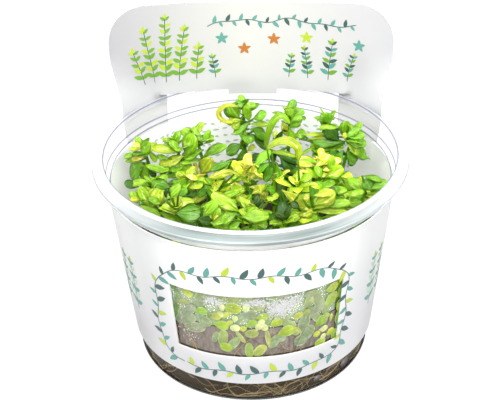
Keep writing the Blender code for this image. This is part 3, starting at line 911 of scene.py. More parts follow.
# The misted part of the wall: its sides, and how low it reaches on the gel
MIST_LEFT = -23.4 * MM
MIST_RIGHT = 25.2 * MM
MIST_BOTTOM = 20.05 * MM
MIST_EDGE = 0.1 * MM

GEL_TONES = (0.011, 0.0085, 0.005), (0.054, 0.04, 0.022)
MISTED_GEL_TONES = (0.08, 0.062, 0.048), (0.27, 0.24, 0.215)
GEL_BESIDE_MIST = (0.05, 0.038, 0.02)
GEL_STREAKS = 0.55

ROOT_COUNT = 230
ROOT_STEP = 0.9 * MM
ROOT_TURN_RADIUS = 38 * MM
ROOT_LOWEST = 1.6 * MM
ROOT_HIGHEST = 29.4 * MM
LOW_ROOTS_TOP = 10 * MM
ROOT_TINT = (0.3, 0.225, 0.11)


def gel_material(name, tones, streaks=0.0):
    """Agar gel, cloudy, with streaks up and down where it is seen through the misted wall."""
    paint = Paint(name, rough=0.4, shine=0.12)
    cloud = paint.noise(120.0, 5.0)
    if streaks:
        upright = paint.add("ShaderNodeMapping", {"Vector": paint.place(), "Scale": (1.0, 1.0, 0.22)})
        streak = paint.ramp(paint.noise(950.0, 5.0, 0.65, upright), 0.34, 0.66)
        cloud = paint.mix(streaks, cloud, streak)
    colour = paint.mix(cloud, *tones)
    if streaks:
        x, _, z = paint.axes()
        above = paint.ramp(z, MIST_BOTTOM - MIST_EDGE, MIST_BOTTOM + MIST_EDGE)
        after = paint.ramp(x, MIST_LEFT - MIST_EDGE, MIST_LEFT + MIST_EDGE)
        before = paint.ramp(x, MIST_RIGHT + MIST_EDGE, MIST_RIGHT - MIST_EDGE)
        misted = paint.math("MINIMUM", above, paint.math("MINIMUM", after, before))
        colour = paint.mix(misted, GEL_BESIDE_MIST, colour)
    paint.use(colour=colour)
    paint.bump(paint.noise(260.0), 0.25, 0.4 * MM)
    return paint.material


def root_material():
    paint = Paint("root", rough=0.45)
    mottled = paint.mix(paint.noise(700.0), (0.75, 0.72, 0.68), (1.1, 1.08, 1.0))
    paint.use(colour=paint.times(paint.attribute("tint"), mottled))
    return paint.material


def gel_corners():
    bottom = FLOOR - GEL_CONTACT
    wall_top = GEL_TOP + GEL_MENISCUS
    low = SLEEVE_BOTTOM + 5 * MM
    return [
        (0.0, GEL_TOP, 0),
        (wall_inner_radius(GEL_TOP) - 3.0 * MM, GEL_TOP, 1.6 * MM),
        (wall_inner_radius(wall_top) + GEL_CONTACT, wall_top, 0.1 * MM),
        (wall_inner_radius(low) + GEL_CONTACT, low, 0),
        (wall_inner_radius(bottom) + GEL_CONTACT, bottom, GEL_FOOT_FILLET),
        (0.0, bottom, 0),
    ]


def build_gel():
    gel = lathe("agar_gel", gel_corners(), 160)
    for polygon in gel.data.polygons:
        centre = polygon.center
        angle = math.degrees(math.atan2(centre.x, -centre.y))
        at_wall = math.hypot(centre.x, centre.y) > wall_inner_radius(centre.z) - GAP
        behind_window = -44 < angle < 48 and centre.z > SLEEVE_BOTTOM + 3 * MM
        polygon.material_index = int(at_wall and behind_window)
    materials = (gel_material("dark_agar_gel", GEL_TONES),
                 gel_material("misted_agar_gel", MISTED_GEL_TONES, GEL_STREAKS))
    complete(gel, "agar_gel", materials, "gel")


def gel_face(angle, z, depth):
    """A point a little way inside the gel's side, at an angle from the front."""
    radius = wall_inner_radius(z) + GEL_CONTACT - depth
    foot = FLOOR + GEL_FOOT_FILLET
    if z < foot:
        share = (foot - z) / GEL_FOOT_FILLET
        radius -= GEL_FOOT_FILLET * (1 - math.sqrt(max(1 - share * share, 0.0)))
    return from_front(radius, angle, z)


def build_roots():
    """Roots at the gel's side, level in its low part and steeper above."""
    rng = random.Random(5)
    soup = Soup()
    for _ in range(ROOT_COUNT):
        angle = rng.uniform(-math.pi, math.pi)
        z = rng.uniform(2.0, 26.0) * MM
        low = z < LOW_ROOTS_TOP
        heading = rng.uniform(-0.5, 0.5) if low else rng.choice((1, -1)) * rng.uniform(1.25, 1.6)
        direction = rng.choice((-1, 1))
        depth = rng.uniform(-0.16, 0.02) * MM
        radius = rng.uniform(0.1, 0.26 if low else 0.16) * MM
        bright = rng.uniform(0.35, 1.0) ** 1.3
        points = []
        count = rng.randint(14, 34)
        for _ in range(count):
            points.append(gel_face(angle, z, depth))
            heading += rng.gauss(0, 0.22 if low else 0.12)
            angle += direction * ROOT_STEP * math.cos(heading) / ROOT_TURN_RADIUS
            z += ROOT_STEP * math.sin(heading)
            if not ROOT_LOWEST <= z <= ROOT_HIGHEST:
                z = min(max(z, ROOT_LOWEST), ROOT_HIGHEST)
                heading = -heading * 0.6
        radii = [radius * (1 - 0.6 * index / count) for index in range(count)]
        soup.add(*tube(points, radii, 5), tint=np.array(ROOT_TINT) * bright * (1.0 if low else 1.3))
    soup.build("roots", "agar_gel", root_material())


# Shoots, placed as the solids are

# Up each shoot: share of its length, size and elevation of a leaf pair
LEVELS = ((0.5, 0.95, 14), (0.74, 1.0, 22), (0.9, 0.9, 36), (0.97, 0.62, 64))
# Turns, rises and sizes that are tried in this order until a leaf fits
TRIES = ((0, 0, 1.0), (14, 8, 1.0), (-14, 8, 1.0), (26, -6, 0.95), (-26, -6, 0.95), (8, 26, 0.9),
         (-8, 38, 0.8), (40, 16, 0.8), (-40, 16, 0.8), (0, 52, 0.75))
STEEPEST = 84
# Boxes of pixels where the photograph shows dark gaps between the crowns
DARK_GAPS = ((264, 202, 291, 219), (276, 196, 292, 206), (252, 201, 263, 209), (271, 158, 281, 168),
             (272, 181, 283, 188), (287, 181, 297, 190), (161, 191, 168, 208), (199, 214, 211, 223),
             (237, 221, 247, 228), (294, 205, 302, 210), (249, 222, 255, 227))


def leaf_mesh(leaf, swell=0.0):
    """A faceted blade, made larger on all sides by the swell."""
    bm = bmesh.new()
    bmesh.ops.create_uvsphere(bm, u_segments=LEAF_SIDES, v_segments=2, radius=1.0,
                              matrix=Matrix.Rotation(math.pi / LEAF_SIDES, 4, "Z"))
    for vert in bm.verts:
        along = ((1.0 - vert.co.x) / 2) ** 0.85
        width = 0.14 + 0.86 * smoothstep(0.0, 0.6, along)
        across = vert.co.y * width * (leaf["width"] / 2 + swell)
        lift = vert.co.z * (LEAF_THICKNESS / 2 + swell)
        bend = -leaf["droop"] * along * along * leaf["length"]
        fold = 0.22 * abs(across)
        vert.co = Vector((along * (leaf["length"] + swell), across, lift + bend + fold))
    bm.transform(leaf["matrix"])
    return bm


def leaf_matrix(origin, azimuth, elevation, roll):
    turn = Matrix.Rotation(azimuth, 4, "Z") @ Matrix.Rotation(-elevation, 4, "Y")
    root = Matrix.Translation((-LEAF_ROOT, 0.0, 0.0))
    return Matrix.Translation(origin) @ turn @ Matrix.Rotation(roll, 4, "X") @ root


def stem_curve(base, tip, sway):
    """Points up a stem: straight out of the gel, then in a bow to the tip."""
    start = Vector((base.x, base.y, GEL_TOP - SOCKET_DEPTH + GAP))
    knee = Vector((base.x, base.y, GEL_TOP + 2.0 * MM))
    points = [start, knee]
    pull = Vector((base.x + sway.x, base.y + sway.y, (knee.z + tip.z) / 2))
    for step in (1, 2, 3):
        share = step / 3
        low = knee.lerp(pull, share)
        high = pull.lerp(tip, share)
        points.append(low.lerp(high, share))
    return points


def point_on(points, share):
    """Place and direction at a share of the stem's way above the gel."""
    place = share * (len(points) - 2)
    index = min(int(place), len(points) - 3)
    low = points[index + 1]
    high = points[index + 2]
    return low.lerp(high, place - index), (high - low).normalized()


def in_dark_gap(point):
    x, y = to_pixel(point)
    return any(left < x < right and upper < y < lower for left, upper, right, lower in DARK_GAPS)


def inside_cup(points):
    for point in points:
        radius = math.hypot(point.x, point.y)
        if point.z < GEL_TOP + 0.6 * MM:
            return False
        if point.z < STEP_TOP and radius > wall_inner_radius(point.z) - 0.5 * MM:
            return False
        if point.z >= STEP_TOP and radius > NECK_INNER_RADIUS - 0.6 * MM:
            return False
        if point.z > TAB_BOTTOM - MM and point.y > HEADER_BACK - HEADER_BEND * point.x ** 2 - MM:
            return False
    return True


def stem_tree(points):
    bm = bmesh.new()
    for low, high in zip(points, points[1:]):
        axis = high - low
        ring = bmesh.ops.create_cone(bm, segments=5, radius1=STEM_RADIUS + GAP,
                                     radius2=STEM_RADIUS + GAP, depth=axis.length)
        turn = axis.to_track_quat("Z", "Y").to_matrix().to_4x4()
        bmesh.ops.transform(bm, matrix=Matrix.Translation((low + high) / 2) @ turn,
                            verts=ring["verts"])
    tree = BVHTree.FromBMesh(bm)
    bm.free()
    return tree


def fits(leaf, others):
    """Whether a leaf, with room round it, is inside the cup and clear of other shoots."""
    bm = leaf_mesh(leaf, swell=0.35 * MM)
    clear = inside_cup([vert.co for vert in bm.verts])
    if clear:
        tree = BVHTree.FromBMesh(bm)
        clear = not any(tree.overlap(other) for other in others)
    bm.free()
    return clear


def grow_leaf(rng, place, azimuth, elevation, size, others):
    for turn, rise, scale in TRIES:
        leaf = {"length": LEAF_LENGTH * size * scale, "width": LEAF_WIDTH * size * scale,
                "droop": 0.12 + 0.2 * rng.random()}
        leaf["matrix"] = leaf_matrix(place, azimuth + math.radians(turn),
                                     math.radians(min(elevation + rise, STEEPEST)),
                                     math.radians(rng.uniform(-18, 18)))
        if fits(leaf, others):
            return leaf
    return None


def plan_shoots():
    rng = random.Random(SEED)
    shoots = []
    for x, y, z in BACK_TIPS + MIDDLE_TIPS + FRONT_TIPS:
        tip = Vector((x, y, z)) * MM
        pull = rng.uniform(0.78, 0.9)
        base = Vector((tip.x * pull + rng.uniform(-2, 2) * MM,
                       tip.y * pull + rng.uniform(-2, 2) * MM, GEL_TOP))
        sway = Vector((rng.uniform(-2.5, 2.5) * MM, rng.uniform(-2.5, 2.5) * MM, 0.0))
        points = stem_curve(base, tip, sway)
        shoots.append({"points": points, "leaves": [], "trees": [stem_tree(points)],
                       "turn": rng.uniform(0, math.pi)})
    for level, (share, size, elevation) in enumerate(reversed(LEVELS)):
        for shoot in shoots:
            others = [tree for other in shoots if other is not shoot for tree in other["trees"]]
            place, direction = point_on(shoot["points"], share)
            for side in (0, 1):
                azimuth = shoot["turn"] + math.pi * side + math.pi / 2 * level
                azimuth += rng.uniform(-0.25, 0.25)
                lean = direction.x * math.cos(azimuth) + direction.y * math.sin(azimuth)
                rise = elevation + rng.uniform(-8, 10) - 30 * lean
                leaf = grow_leaf(rng, place, azimuth, rise, size * rng.uniform(0.88, 1.08), others)
                if leaf:
                    leaf["share"] = share
                    shoot["leaves"].append(leaf)
                    bm = leaf_mesh(leaf)
                    shoot["trees"].append(BVHTree.FromBMesh(bm))
                    bm.free()
    return shoots


# Fine leaves

# Shares of a blade's length where its rings stand
STATIONS = (0.0, 0.07, 0.16, 0.28, 0.42, 0.56, 0.7, 0.82, 0.91, 0.965, 0.992, 1.0)
# How far across the blade and how far up or down its thickness each point of a ring is
RING = [(across, side * math.sqrt(1.0 - across * across))
        for side, places in ((1, (-1.0, -0.5, 0.0, 0.5, 1.0)), (-1, (0.5, 0.0, -0.5)))
        for across in places]
BLADE_HALF_THICKNESS = 0.14 * MM
# Painted shade for leaves in a dark gap, and painted light for leaves near the middle of the cup
DARK_GAP_SHADE = (0.09, 0.18, 0.06)
CENTRE_PAINTED_LIGHT = (0.52, 0.56, 0.6)

# Leaf tones from old and shaded to young, and the yellow of the youngest crowns
TONES = ((0.012, 0.04, 0.005), (0.06, 0.19, 0.006), (0.155, 0.42, 0.007), (0.27, 0.54, 0.009),
         (0.48, 0.61, 0.016), (0.9, 0.74, 0.05))


def leaf_material(name, streaks, rim_share, painted_gleam_gain, pale_rim=None):
    """Blade colour from each leaf's tint, with streaks, painted highlights (gleams), a pale midrib and a
    pale rim.
    """
    paint = Paint(name, rough=0.24, shine=0.42)
    blade = paint.add("ShaderNodeSeparateColor", {"Color": paint.attribute("blade")})
    along, across, own = blade.node.outputs
    off_rib = paint.math("ABSOLUTE", paint.math("SUBTRACT", across, 0.5))
    rib = paint.math("SUBTRACT", 1.0, paint.math("MULTIPLY", off_rib, 14.0), clamp=True)
    lanes = paint.vector((along, 2.6), (across, 9.0), (own, 60.0))
    streak = paint.ramp(paint.noise(1.0, 3.0, 0.6, lanes), 0.36, 0.64)
    mottle = paint.ramp(paint.noise(300.0), 0.35, 0.65)
    base = paint.times(paint.attribute("tint"),
                       paint.mix(mottle, (0.84, 0.86, 0.75), (1.16, 1.16, 1.4)))
    streaked = paint.mix(streaks, base, paint.mix(streak, (0.66, 0.7, 0.65), (1.18, 1.12, 1.7)), "MULTIPLY")
    # Each blade is made darker towards its root.
    darker_at_root = paint.times(streaked, paint.mix(along, (0.76, 0.8, 0.85), (1.06, 1.0, 1.0)))
    rim = paint.ramp(off_rib, 0.4, 0.47)
    rimmed = paint.mix(paint.math("MULTIPLY", rim, rim_share), darker_at_root,
                       pale_rim or paint.times(darker_at_root, (1.9, 1.5, 2.6)))
    ribbed = paint.mix(paint.math("MULTIPLY", rib, 0.35 * streaks * streaks), rimmed,
                       paint.times(rimmed, (2.4, 1.5, 6.0)))
    # The gleams are painted highlights: sparse pale patches where the blade would catch the light.
    patches = paint.vector((along, 3.4), (across, 3.0), (own, 90.0))
    painted_gleam = paint.ramp(paint.noise(1.0, 2.0, 0.7, patches), 0.54, 0.66)
    bright = paint.mix(1.0, paint.times(ribbed, painted_gleam_gain), (0.01, 0.015, 0.008), "ADD")
    colour = paint.mix(paint.math("MULTIPLY", painted_gleam, 0.75 * streaks), ribbed, bright)
    paint.use(colour=colour)
    relief = paint.math("ADD", paint.math("MULTIPLY", streak, 0.9 * streaks),
                        paint.math("SUBTRACT", mottle, rib))
    paint.bump(relief, 0.5 * streaks, 0.2 * MM)
    paint.shine_through(paint.times(colour, (0.78, 1.2, 0.35)), 0.36)
    return paint.material


def outline(along, widest):
    """Half width of a blade along its length: a short stalk, a spoon shape and a round tip."""
    if along < widest:
        return 0.13 + 0.87 * smoothstep(-0.08, widest, along) * smoothstep(0.0, 0.2, along)
    past = (along - widest) / (1.0 - widest)
    return max(1.0 - past ** 2.3, 0.0) ** 0.5 + 0.02


def round_outline(along, widest):
    """Half width of an oval blade seen flat against the wall."""
    share = along / widest if along < widest else (1.0 - along) / (1.0 - widest)
    return max(1.0 - (1.0 - share) ** 2.2, 0.0) ** 0.5 + 0.02


def blade_faces(rings):
    return [face[::-1] for face in ring_faces(rings, len(RING))]


def fine_leaf(length, width, droop, fold, twist, widest=0.56, wave=0.0, shape=outline):
    """A closed blade with a folded midrib, along X from its root: points, faces and marks."""
    verts = []
    marks = []
    x = 0.0
    z = 0.0
    before = 0.0
    for along in STATIONS:
        slope = -droop * (before + along)
        step = (along - before) * length
        x += step * math.cos(slope)
        z += step * math.sin(slope)
        before = along
        half = shape(along, widest) * width / 2
        tilt = twist * along
        for across, swell in RING:
            y = across * half
            rise = fold * abs(y) - 0.35 * fold * y * y / (width / 2)
            rise += wave * half * math.sin(9.0 * along + 2.0 * across) * abs(across)
            rise += swell * BLADE_HALF_THICKNESS
            verts.append((x - rise * math.sin(slope), y * math.cos(tilt) - rise * math.sin(tilt),
                          z + y * math.sin(tilt) + rise * math.cos(tilt) * math.cos(slope)))
            marks.append((along, (across + 1.0) / 2.0, 0.0))
    return np.array(verts), blade_faces(len(STATIONS)), np.array(marks)


def moved(verts, matrix):
    turn = np.array(matrix.to_3x3())
    return verts @ turn.T + np.array(matrix.translation)


def tone(value):
    """A leaf colour between the tones, for a value from 0 to 5."""
    value = min(max(value, 0.0), len(TONES) - 1.001)
    low = int(value)
    share = value - low
    return np.array(TONES[low]) * (1 - share) + np.array(TONES[low + 1]) * share


def add_leaf(soup, matrix, length, width, droop, fold, twist, colour, widest=0.56, wave=0.0):
    """A leaf, with painted light that brightens it near the middle of the cup and painted shade that
    darkens it in a dark gap.
    """
    verts, faces, marks = fine_leaf(length, width, droop, fold, twist, widest, wave)
    marks[:, 2] = (matrix.translation.x * 977 + matrix.translation.y * 1331) % 1.0
    x, y = matrix.translation.x / MM, matrix.translation.y / MM
    nearness = math.exp(-((x - 8) / 24) ** 2 - (y / 16) ** 2)
    colour = np.minimum(np.array(colour) * (1 + np.array(CENTRE_PAINTED_LIGHT) * nearness), 0.94)
    if in_dark_gap(matrix @ Vector((0.6 * length, 0.0, -0.3 * droop * length))):
        colour = colour * DARK_GAP_SHADE
    soup.add(moved(verts, matrix), faces, tint=colour, blade=marks)


def loose_leaf(rng, soup, place, matrix, size, base_tone, tones):
    """Adds a leaf, unless it leaves the cup or covers a dark gap, and tells whether it did."""
    length = LEAF_LENGTH * size
    end = matrix @ Vector((length, 0, 0))
    if not inside_cup([end]) or in_dark_gap(place.lerp(end, 0.6)):
        return False
    add_leaf(soup, matrix, length, LEAF_WIDTH * size, rng.uniform(0.1, 0.5), rng.uniform(0.1, 0.4),
             rng.uniform(-0.5, 0.5), tone(base_tone + rng.uniform(*tones)))
    return True


def add_stem(soup, points, start_radius, end_radius, colour, sides=8):
    smooth = smooth_path(points, 4)
    last = len(smooth) - 1
    radii = [start_radius + (end_radius - start_radius) * index / last for index in range(last + 1)]
    soup.add(*tube(smooth, radii, sides), tint=colour, blade=(0.5, 0.2, 0.0))


def shoot_tone(tip):
    """A shoot's tone: yellow at the centre, deep green at the back and left edge."""
    x, y = tip.x / MM, tip.y / MM
    value = 3.1
    for gain, middle_x, middle_y, spread in ((1.3, 0, 0, 130), (1.0, 22, 3, 110)):
        value += gain * math.exp(-((x - middle_x) ** 2 + (y - middle_y) ** 2) / spread)
    value -= 0.9 * smoothstep(8, 22, y)
    value -= 0.7 * smoothstep(24, 38, -x)
    return value


def extra_leaves(rng, shoot, soup, base_tone):
    """Further leaf pairs up a shoot, more of them in front of the back row."""
    points = shoot["points"]
    for share in (0.12, 0.3, 0.55) if points[-1].y < 6 * MM else (0.12,):
        place, _ = point_on(points, share)
        turn = shoot["turn"] + rng.uniform(0, math.pi)
        for side in (0, 1):
            size = rng.uniform(0.7, 0.95)
            elevation = math.radians(rng.uniform(0, 35))
            matrix = leaf_matrix(place, turn + math.pi * side, elevation,
                                 math.radians(rng.uniform(-25, 25)))
            loose_leaf(rng, soup, place, matrix, size, base_tone - 1.9 + 1.6 * share, (-0.6, 0.6))


def add_crown(rng, soup, points, base_tone):
    """The small young leaves in crossed pairs at the tip of a shoot."""
    for pair in range(4):
        size = (0.3 + 0.11 * (3 - pair)) * rng.uniform(0.85, 1.1)
        place, _ = point_on(points, 0.94 + 0.018 * pair)
        turn = rng.uniform(-0.3, 0.3) + math.pi / 2 * pair + points[-1].x * 700
        for side in (0, 1):
            matrix = leaf_matrix(place, turn + math.pi * side, math.radians(28 + 13 * pair),
                                 math.radians(rng.uniform(-20, 20)))
            add_leaf(soup, matrix, LEAF_LENGTH * size, LEAF_WIDTH * size, rng.uniform(0.0, 0.4),
                     rng.uniform(0.3, 0.6), rng.uniform(-0.4, 0.4),
                     tone(base_tone + 0.1 + 0.2 * pair + rng.uniform(-0.3, 0.3)))


# Leaves placed where the photograph shows them. For each clump: the shoots that carry it, then
# its leaves as pixel of the root, pixel of the tip, width in pixels and tone.
# A tone holds painted shade and painted highlight as well as the leaf's own colour.
CLUMPS = (
    ((1,), (  # tall shoot at the back, left of the middle
        (237, 103, 226, 117, 12, 1.6), (231, 105, 242, 104, 7, 2.2), (239, 118, 231, 107, 11, 2.6),
        (240, 122, 233, 128, 7, 3.4), (243, 107, 254, 105, 6, 2.9), (249, 121, 246, 109, 8, 2.7),
        (253, 119, 264, 113, 10, 2.3), (250, 124, 267, 124, 6, 3.3), (250, 122, 235, 133, 7, 2.2),
        (249, 129, 264, 132, 6, 2.1), (245, 129, 245, 152, 8, 3.2), (247, 151, 254, 146, 6, 3.9),
        (242, 144, 227, 152, 11, 1.6), (243, 149, 244, 164, 12, 1.8), (250, 133, 266, 148, 7, 1.2),
        (254, 130, 266, 140, 8, 1.6), (241, 120, 230, 119, 6, 3.8), (238, 124, 227, 122, 5, 3.9))),
    ((2,), (  # tall shoot right of the middle
        (282, 121, 288, 136, 7, 4.0), (294, 118, 287, 109, 7, 2.9), (290, 128, 298, 117, 9, 2.5),
        (290, 127, 300, 124, 5, 2.8), (289, 127, 294, 141, 6, 2.7), (295, 136, 304, 133, 9, 2.8),
        (273, 138, 276, 131, 4, 3.8), (283, 130, 275, 144, 5, 0.8))),
    ((13, 2), (  # dark leaves under it
        (271, 151, 303, 163, 9, 1.1), (279, 154, 297, 174, 12, 0.9), (276, 163, 277, 182, 10, 2.2),
        (272, 162, 266, 181, 8, 1.3), (255, 166, 267, 151, 9, 2.5), (270, 162, 257, 171, 7, 1.8),
        (268, 149, 276, 160, 8, 0.6), (281, 170, 292, 176, 7, 1.6), (284, 182, 298, 190, 8, 0.9),
        (268, 186, 275, 192, 7, 2.2), (272, 196, 278, 195, 5, 4.0), (272, 203, 285, 203, 6, 3.0))),
    ((3,), (  # right clump, upper half
        (330, 124, 326, 115, 8, 2.1), (327, 117, 335, 118, 4, 2.3), (340, 127, 322, 126, 6, 3.0),
        (326, 129, 341, 128, 5, 1.0), (339, 141, 328, 130, 12, 0.8), (344, 137, 346, 123, 8, 2.5),
        (345, 142, 316, 141, 12, 1.6), (345, 143, 313, 148, 13, 3.0), (331, 154, 313, 154, 5, 2.0),
        (315, 147, 301, 153, 3, 2.8), (303, 135, 324, 133, 4, 3.7), (308, 139, 323, 137, 3, 3.9),
        (334, 141, 334, 136, 3, 4.3))),
    ((4,), (  # right clump, lower half
        (345, 138, 358, 128, 7, 2.2), (348, 137, 364, 134, 9, 2.4), (347, 141, 365, 143, 10, 2.3),
        (347, 144, 359, 152, 9, 3.4), (351, 146, 368, 158, 10, 2.5), (347, 151, 357, 164, 12, 1.8),
        (343, 151, 333, 165, 11, 1.8), (345, 139, 345, 134, 4, 4.3), (336, 150, 329, 158, 7, 1.4))),
    ((9, 12), (  # yellow rosette on the right
        (312, 166, 299, 161, 9, 4.8), (315, 168, 326, 156, 8, 4.5), (323, 171, 329, 167, 7, 4.9),
        (331, 172, 331, 159, 8, 3.2), (326, 177, 341, 169, 12, 3.2), (310, 187, 298, 177, 9, 3.3),
        (300, 181, 309, 176, 8, 3.1), (312, 182, 322, 190, 10, 2.2), (318, 188, 333, 181, 9, 2.6),
        (316, 178, 308, 170, 7, 3.7), (338, 184, 350, 175, 7, 3.5), (322, 178, 318, 168, 8, 2.8),
        (298, 160, 316, 159, 3, 2.5), (300, 192, 318, 190, 6, 1.0))),
    ((15, 23), (  # right edge
        (362, 176, 384, 178, 6, 2.2), (372, 191, 366, 180, 13, 1.5), (371, 189, 385, 181, 10, 2.2),
        (354, 183, 363, 192, 9, 2.7), (344, 182, 353, 189, 8, 3.0), (341, 190, 359, 196, 7, 3.4),
        (345, 199, 366, 195, 8, 2.5), (352, 201, 366, 204, 7, 2.7), (368, 197, 377, 190, 9, 2.8),
        (376, 190, 384, 188, 6, 2.4), (364, 188, 371, 188, 10, 3.5), (341, 177, 350, 174, 6, 4.0))),
    ((8,), (  # yellow rosette in the middle
        (250, 181, 256, 167, 7, 4.6), (247, 180, 235, 163, 8, 4.2), (246, 179, 229, 172, 5, 4.7),
        (252, 180, 266, 168, 8, 3.9), (258, 181, 269, 171, 5, 4.6), (244, 189, 228, 181, 8, 4.7),
        (249, 187, 262, 188, 5, 4.8), (248, 196, 237, 199, 7, 4.7), (243, 180, 234, 177, 6, 3.4),
        (251, 184, 243, 176, 7, 3.9), (252, 194, 263, 187, 7, 4.1), (268, 199, 261, 187, 8, 4.2),
        (256, 196, 272, 201, 5, 4.5), (252, 194, 241, 207, 9, 3.2), (262, 190, 271, 186, 7, 2.8))),
    ((10, 25), (  # left of the middle
        (236, 172, 212, 177, 6, 4.2), (224, 180, 211, 187, 8, 3.9), (217, 184, 223, 190, 8, 1.0),
        (240, 192, 222, 196, 8, 3.2), (240, 212, 215, 197, 12, 3.4), (226, 213, 231, 207, 6, 4.5),
        (216, 176, 228, 166, 6, 1.7), (232, 160, 212, 171, 5, 1.5), (204, 184, 215, 197, 7, 2.1),
        (208, 186, 199, 196, 6, 1.4), (230, 200, 236, 206, 8, 2.6), (205, 178, 213, 183, 6, 3.1))),
    ((24, 19, 26), (  # front, middle
        (270, 201, 258, 211, 4, 4.2), (242, 217, 267, 216, 12, 3.0), (236, 214, 221, 221, 10, 2.8),
        (276, 226, 287, 217, 11, 3.2), (291, 223, 300, 215, 8, 3.9), (284, 205, 300, 218, 9, 3.1),
        (257, 222, 266, 226, 9, 2.3), (240, 222, 230, 227, 9, 2.4), (268, 214, 276, 222, 7, 1.7),
        (251, 225, 262, 228, 7, 2.6), (229, 216, 214, 224, 9, 2.7), (246, 208, 254, 211, 5, 3.3))),
    ((26, 21, 20), (  # front, right
        (282, 190, 310, 209, 10, 4.2), (300, 216, 312, 210, 9, 4.0), (299, 195, 313, 198, 6, 3.0),
        (315, 205, 331, 193, 13, 4.1), (314, 209, 333, 199, 9, 3.5), (312, 196, 330, 191, 8, 3.9),
        (302, 221, 316, 217, 9, 2.9), (309, 224, 320, 219, 8, 3.1), (300, 209, 292, 203, 7, 3.3),
        (310, 186, 316, 197, 8, 1.4), (303, 199, 309, 197, 5, 4.6))),
    ((22, 21), (  # front, far right
        (316, 212, 344, 209, 7, 3.5), (322, 206, 348, 202, 8, 3.0), (332, 196, 347, 199, 7, 1.6),
        (330, 192, 346, 189, 7, 2.9), (345, 205, 360, 200, 8, 2.6), (325, 217, 338, 212, 7, 3.0),
        (348, 196, 362, 191, 8, 3.0), (336, 209, 350, 206, 6, 3.3), (334, 186, 341, 193, 7, 2.3))),
    ((5,), (  # left clump
        (142, 149, 130, 149, 4, 4.0), (141, 148, 134, 143, 5, 4.4), (141, 155, 148, 144, 10, 2.3),
        (146, 143, 154, 149, 8, 4.0), (143, 158, 147, 149, 7, 3.0), (144, 158, 128, 157, 8, 4.3),
        (137, 153, 125, 157, 5, 2.6), (135, 160, 126, 161, 3, 2.5), (149, 151, 156, 161, 5, 3.0))),
    ((14, 5), (  # left clump, low leaves
        (142, 163, 127, 178, 15, 1.9), (146, 163, 144, 182, 9, 2.8), (148, 181, 130, 183, 7, 3.3),
        (138, 187, 126, 183, 8, 1.0), (148, 162, 155, 177, 6, 0.7), (171, 188, 154, 181, 12, 1.4),
        (171, 172, 149, 167, 6, 3.0), (160, 178, 181, 173, 6, 2.6), (157, 168, 166, 173, 7, 2.0))),
    ((6, 11), (  # left of the middle, high
        (178, 153, 155, 146, 9, 3.5), (180, 152, 171, 142, 7, 2.6), (187, 157, 190, 137, 14, 2.7),
        (200, 152, 185, 158, 8, 2.7), (168, 158, 157, 156, 5, 3.0), (184, 156, 163, 164, 9, 3.9),
        (180, 162, 190, 172, 12, 3.3), (172, 165, 160, 161, 7, 3.8), (181, 168, 173, 160, 6, 3.4),
        (176, 171, 190, 173, 6, 3.6), (182, 165, 190, 160, 6, 3.1))),
    ((7,), (  # thin shoot beside it
        (201, 142, 195, 131, 6, 3.0), (202, 143, 209, 133, 5, 2.7), (203, 144, 213, 140, 3, 2.6),
        (205, 156, 223, 146, 7, 2.3), (201, 173, 210, 160, 13, 4.0), (197, 173, 195, 163, 4, 4.7),
        (203, 150, 194, 153, 5, 2.2), (207, 174, 196, 174, 6, 4.9))),
    ((11, 17), (  # middle left
        (200, 182, 186, 188, 9, 3.2), (184, 175, 197, 178, 6, 4.5), (172, 181, 186, 187, 7, 2.3),
        (166, 200, 177, 187, 9, 2.8), (170, 190, 166, 198, 8, 2.5), (180, 190, 183, 181, 8, 2.4),
        (191, 205, 204, 189, 10, 4.2), (178, 196, 186, 190, 7, 1.8), (196, 180, 204, 187, 6, 2.0),
        (188, 196, 196, 192, 6, 1.3))),
    ((16, 17), (  # front, far left
        (140, 204, 132, 193, 8, 2.9), (139, 200, 132, 199, 5, 4.3), (150, 208, 140, 190, 9, 3.2),
        (150, 207, 159, 192, 15, 3.5), (139, 205, 160, 213, 7, 3.0), (158, 212, 181, 221, 8, 3.0),
        (161, 209, 190, 199, 10, 3.6), (176, 213, 198, 213, 17, 1.6), (182, 219, 196, 222, 8, 2.2),
        (148, 197, 158, 203, 8, 2.6), (165, 207, 180, 212, 7, 2.2))),
    ((18, 25), (  # front left of the middle
        (203, 217, 213, 204, 10, 3.0), (213, 225, 202, 219, 9, 3.4), (208, 210, 215, 217, 3, 4.8),
        (214, 222, 218, 217, 6, 4.8), (214, 214, 222, 223, 9, 2.7), (226, 224, 238, 221, 8, 2.8),
        (206, 207, 199, 213, 7, 1.6), (210, 222, 221, 226, 7, 3.0))),
)

# Curled leaves: shoot, width in pixels, tone and the pixels along the middle
CURLED = (
    (1, 5.5, 4.3, ((238, 107), (228, 105), (220, 110), (219, 116), (224, 121), (233, 123))),
    (2, 7.5, 3.0, ((266, 148), (268, 135), (272, 124), (278, 117), (284, 117), (290, 124))),
    (13, 9.5, 3.8, ((267, 149), (278, 142), (290, 142), (298, 149), (298, 160))),
    (13, 5.0, 3.4, ((272, 152), (284, 153), (296, 157))),
    (8, 3.6, 4.9, ((247, 176), (244, 168), (248, 163), (253, 166), (251, 173))),
    (9, 3.6, 4.9, ((298, 181), (297, 174), (302, 171), (309, 173))),
    (10, 4.0, 4.3, ((240, 176), (228, 171), (216, 175), (209, 178))),
)
LEAF_IN_FRONT = 2.5 * MM
TWIG_RADII = 0.45 * MM, 0.3 * MM


def stem_samples(shoots, numbers):
    """Points up the named shoots, with the pixel that each falls on."""
    samples = []
    for number in numbers:
        for step in range(3, 21):
            place, _ = point_on(shoots[number - 1]["points"], min(step / 20, 0.999))
            samples.append((number - 1, place, to_pixel(place)))
    return samples


def nearest_sample(samples, x, y):
    return min(samples, key=lambda sample: math.hypot(sample[2][0] - x, sample[2][1] - y))


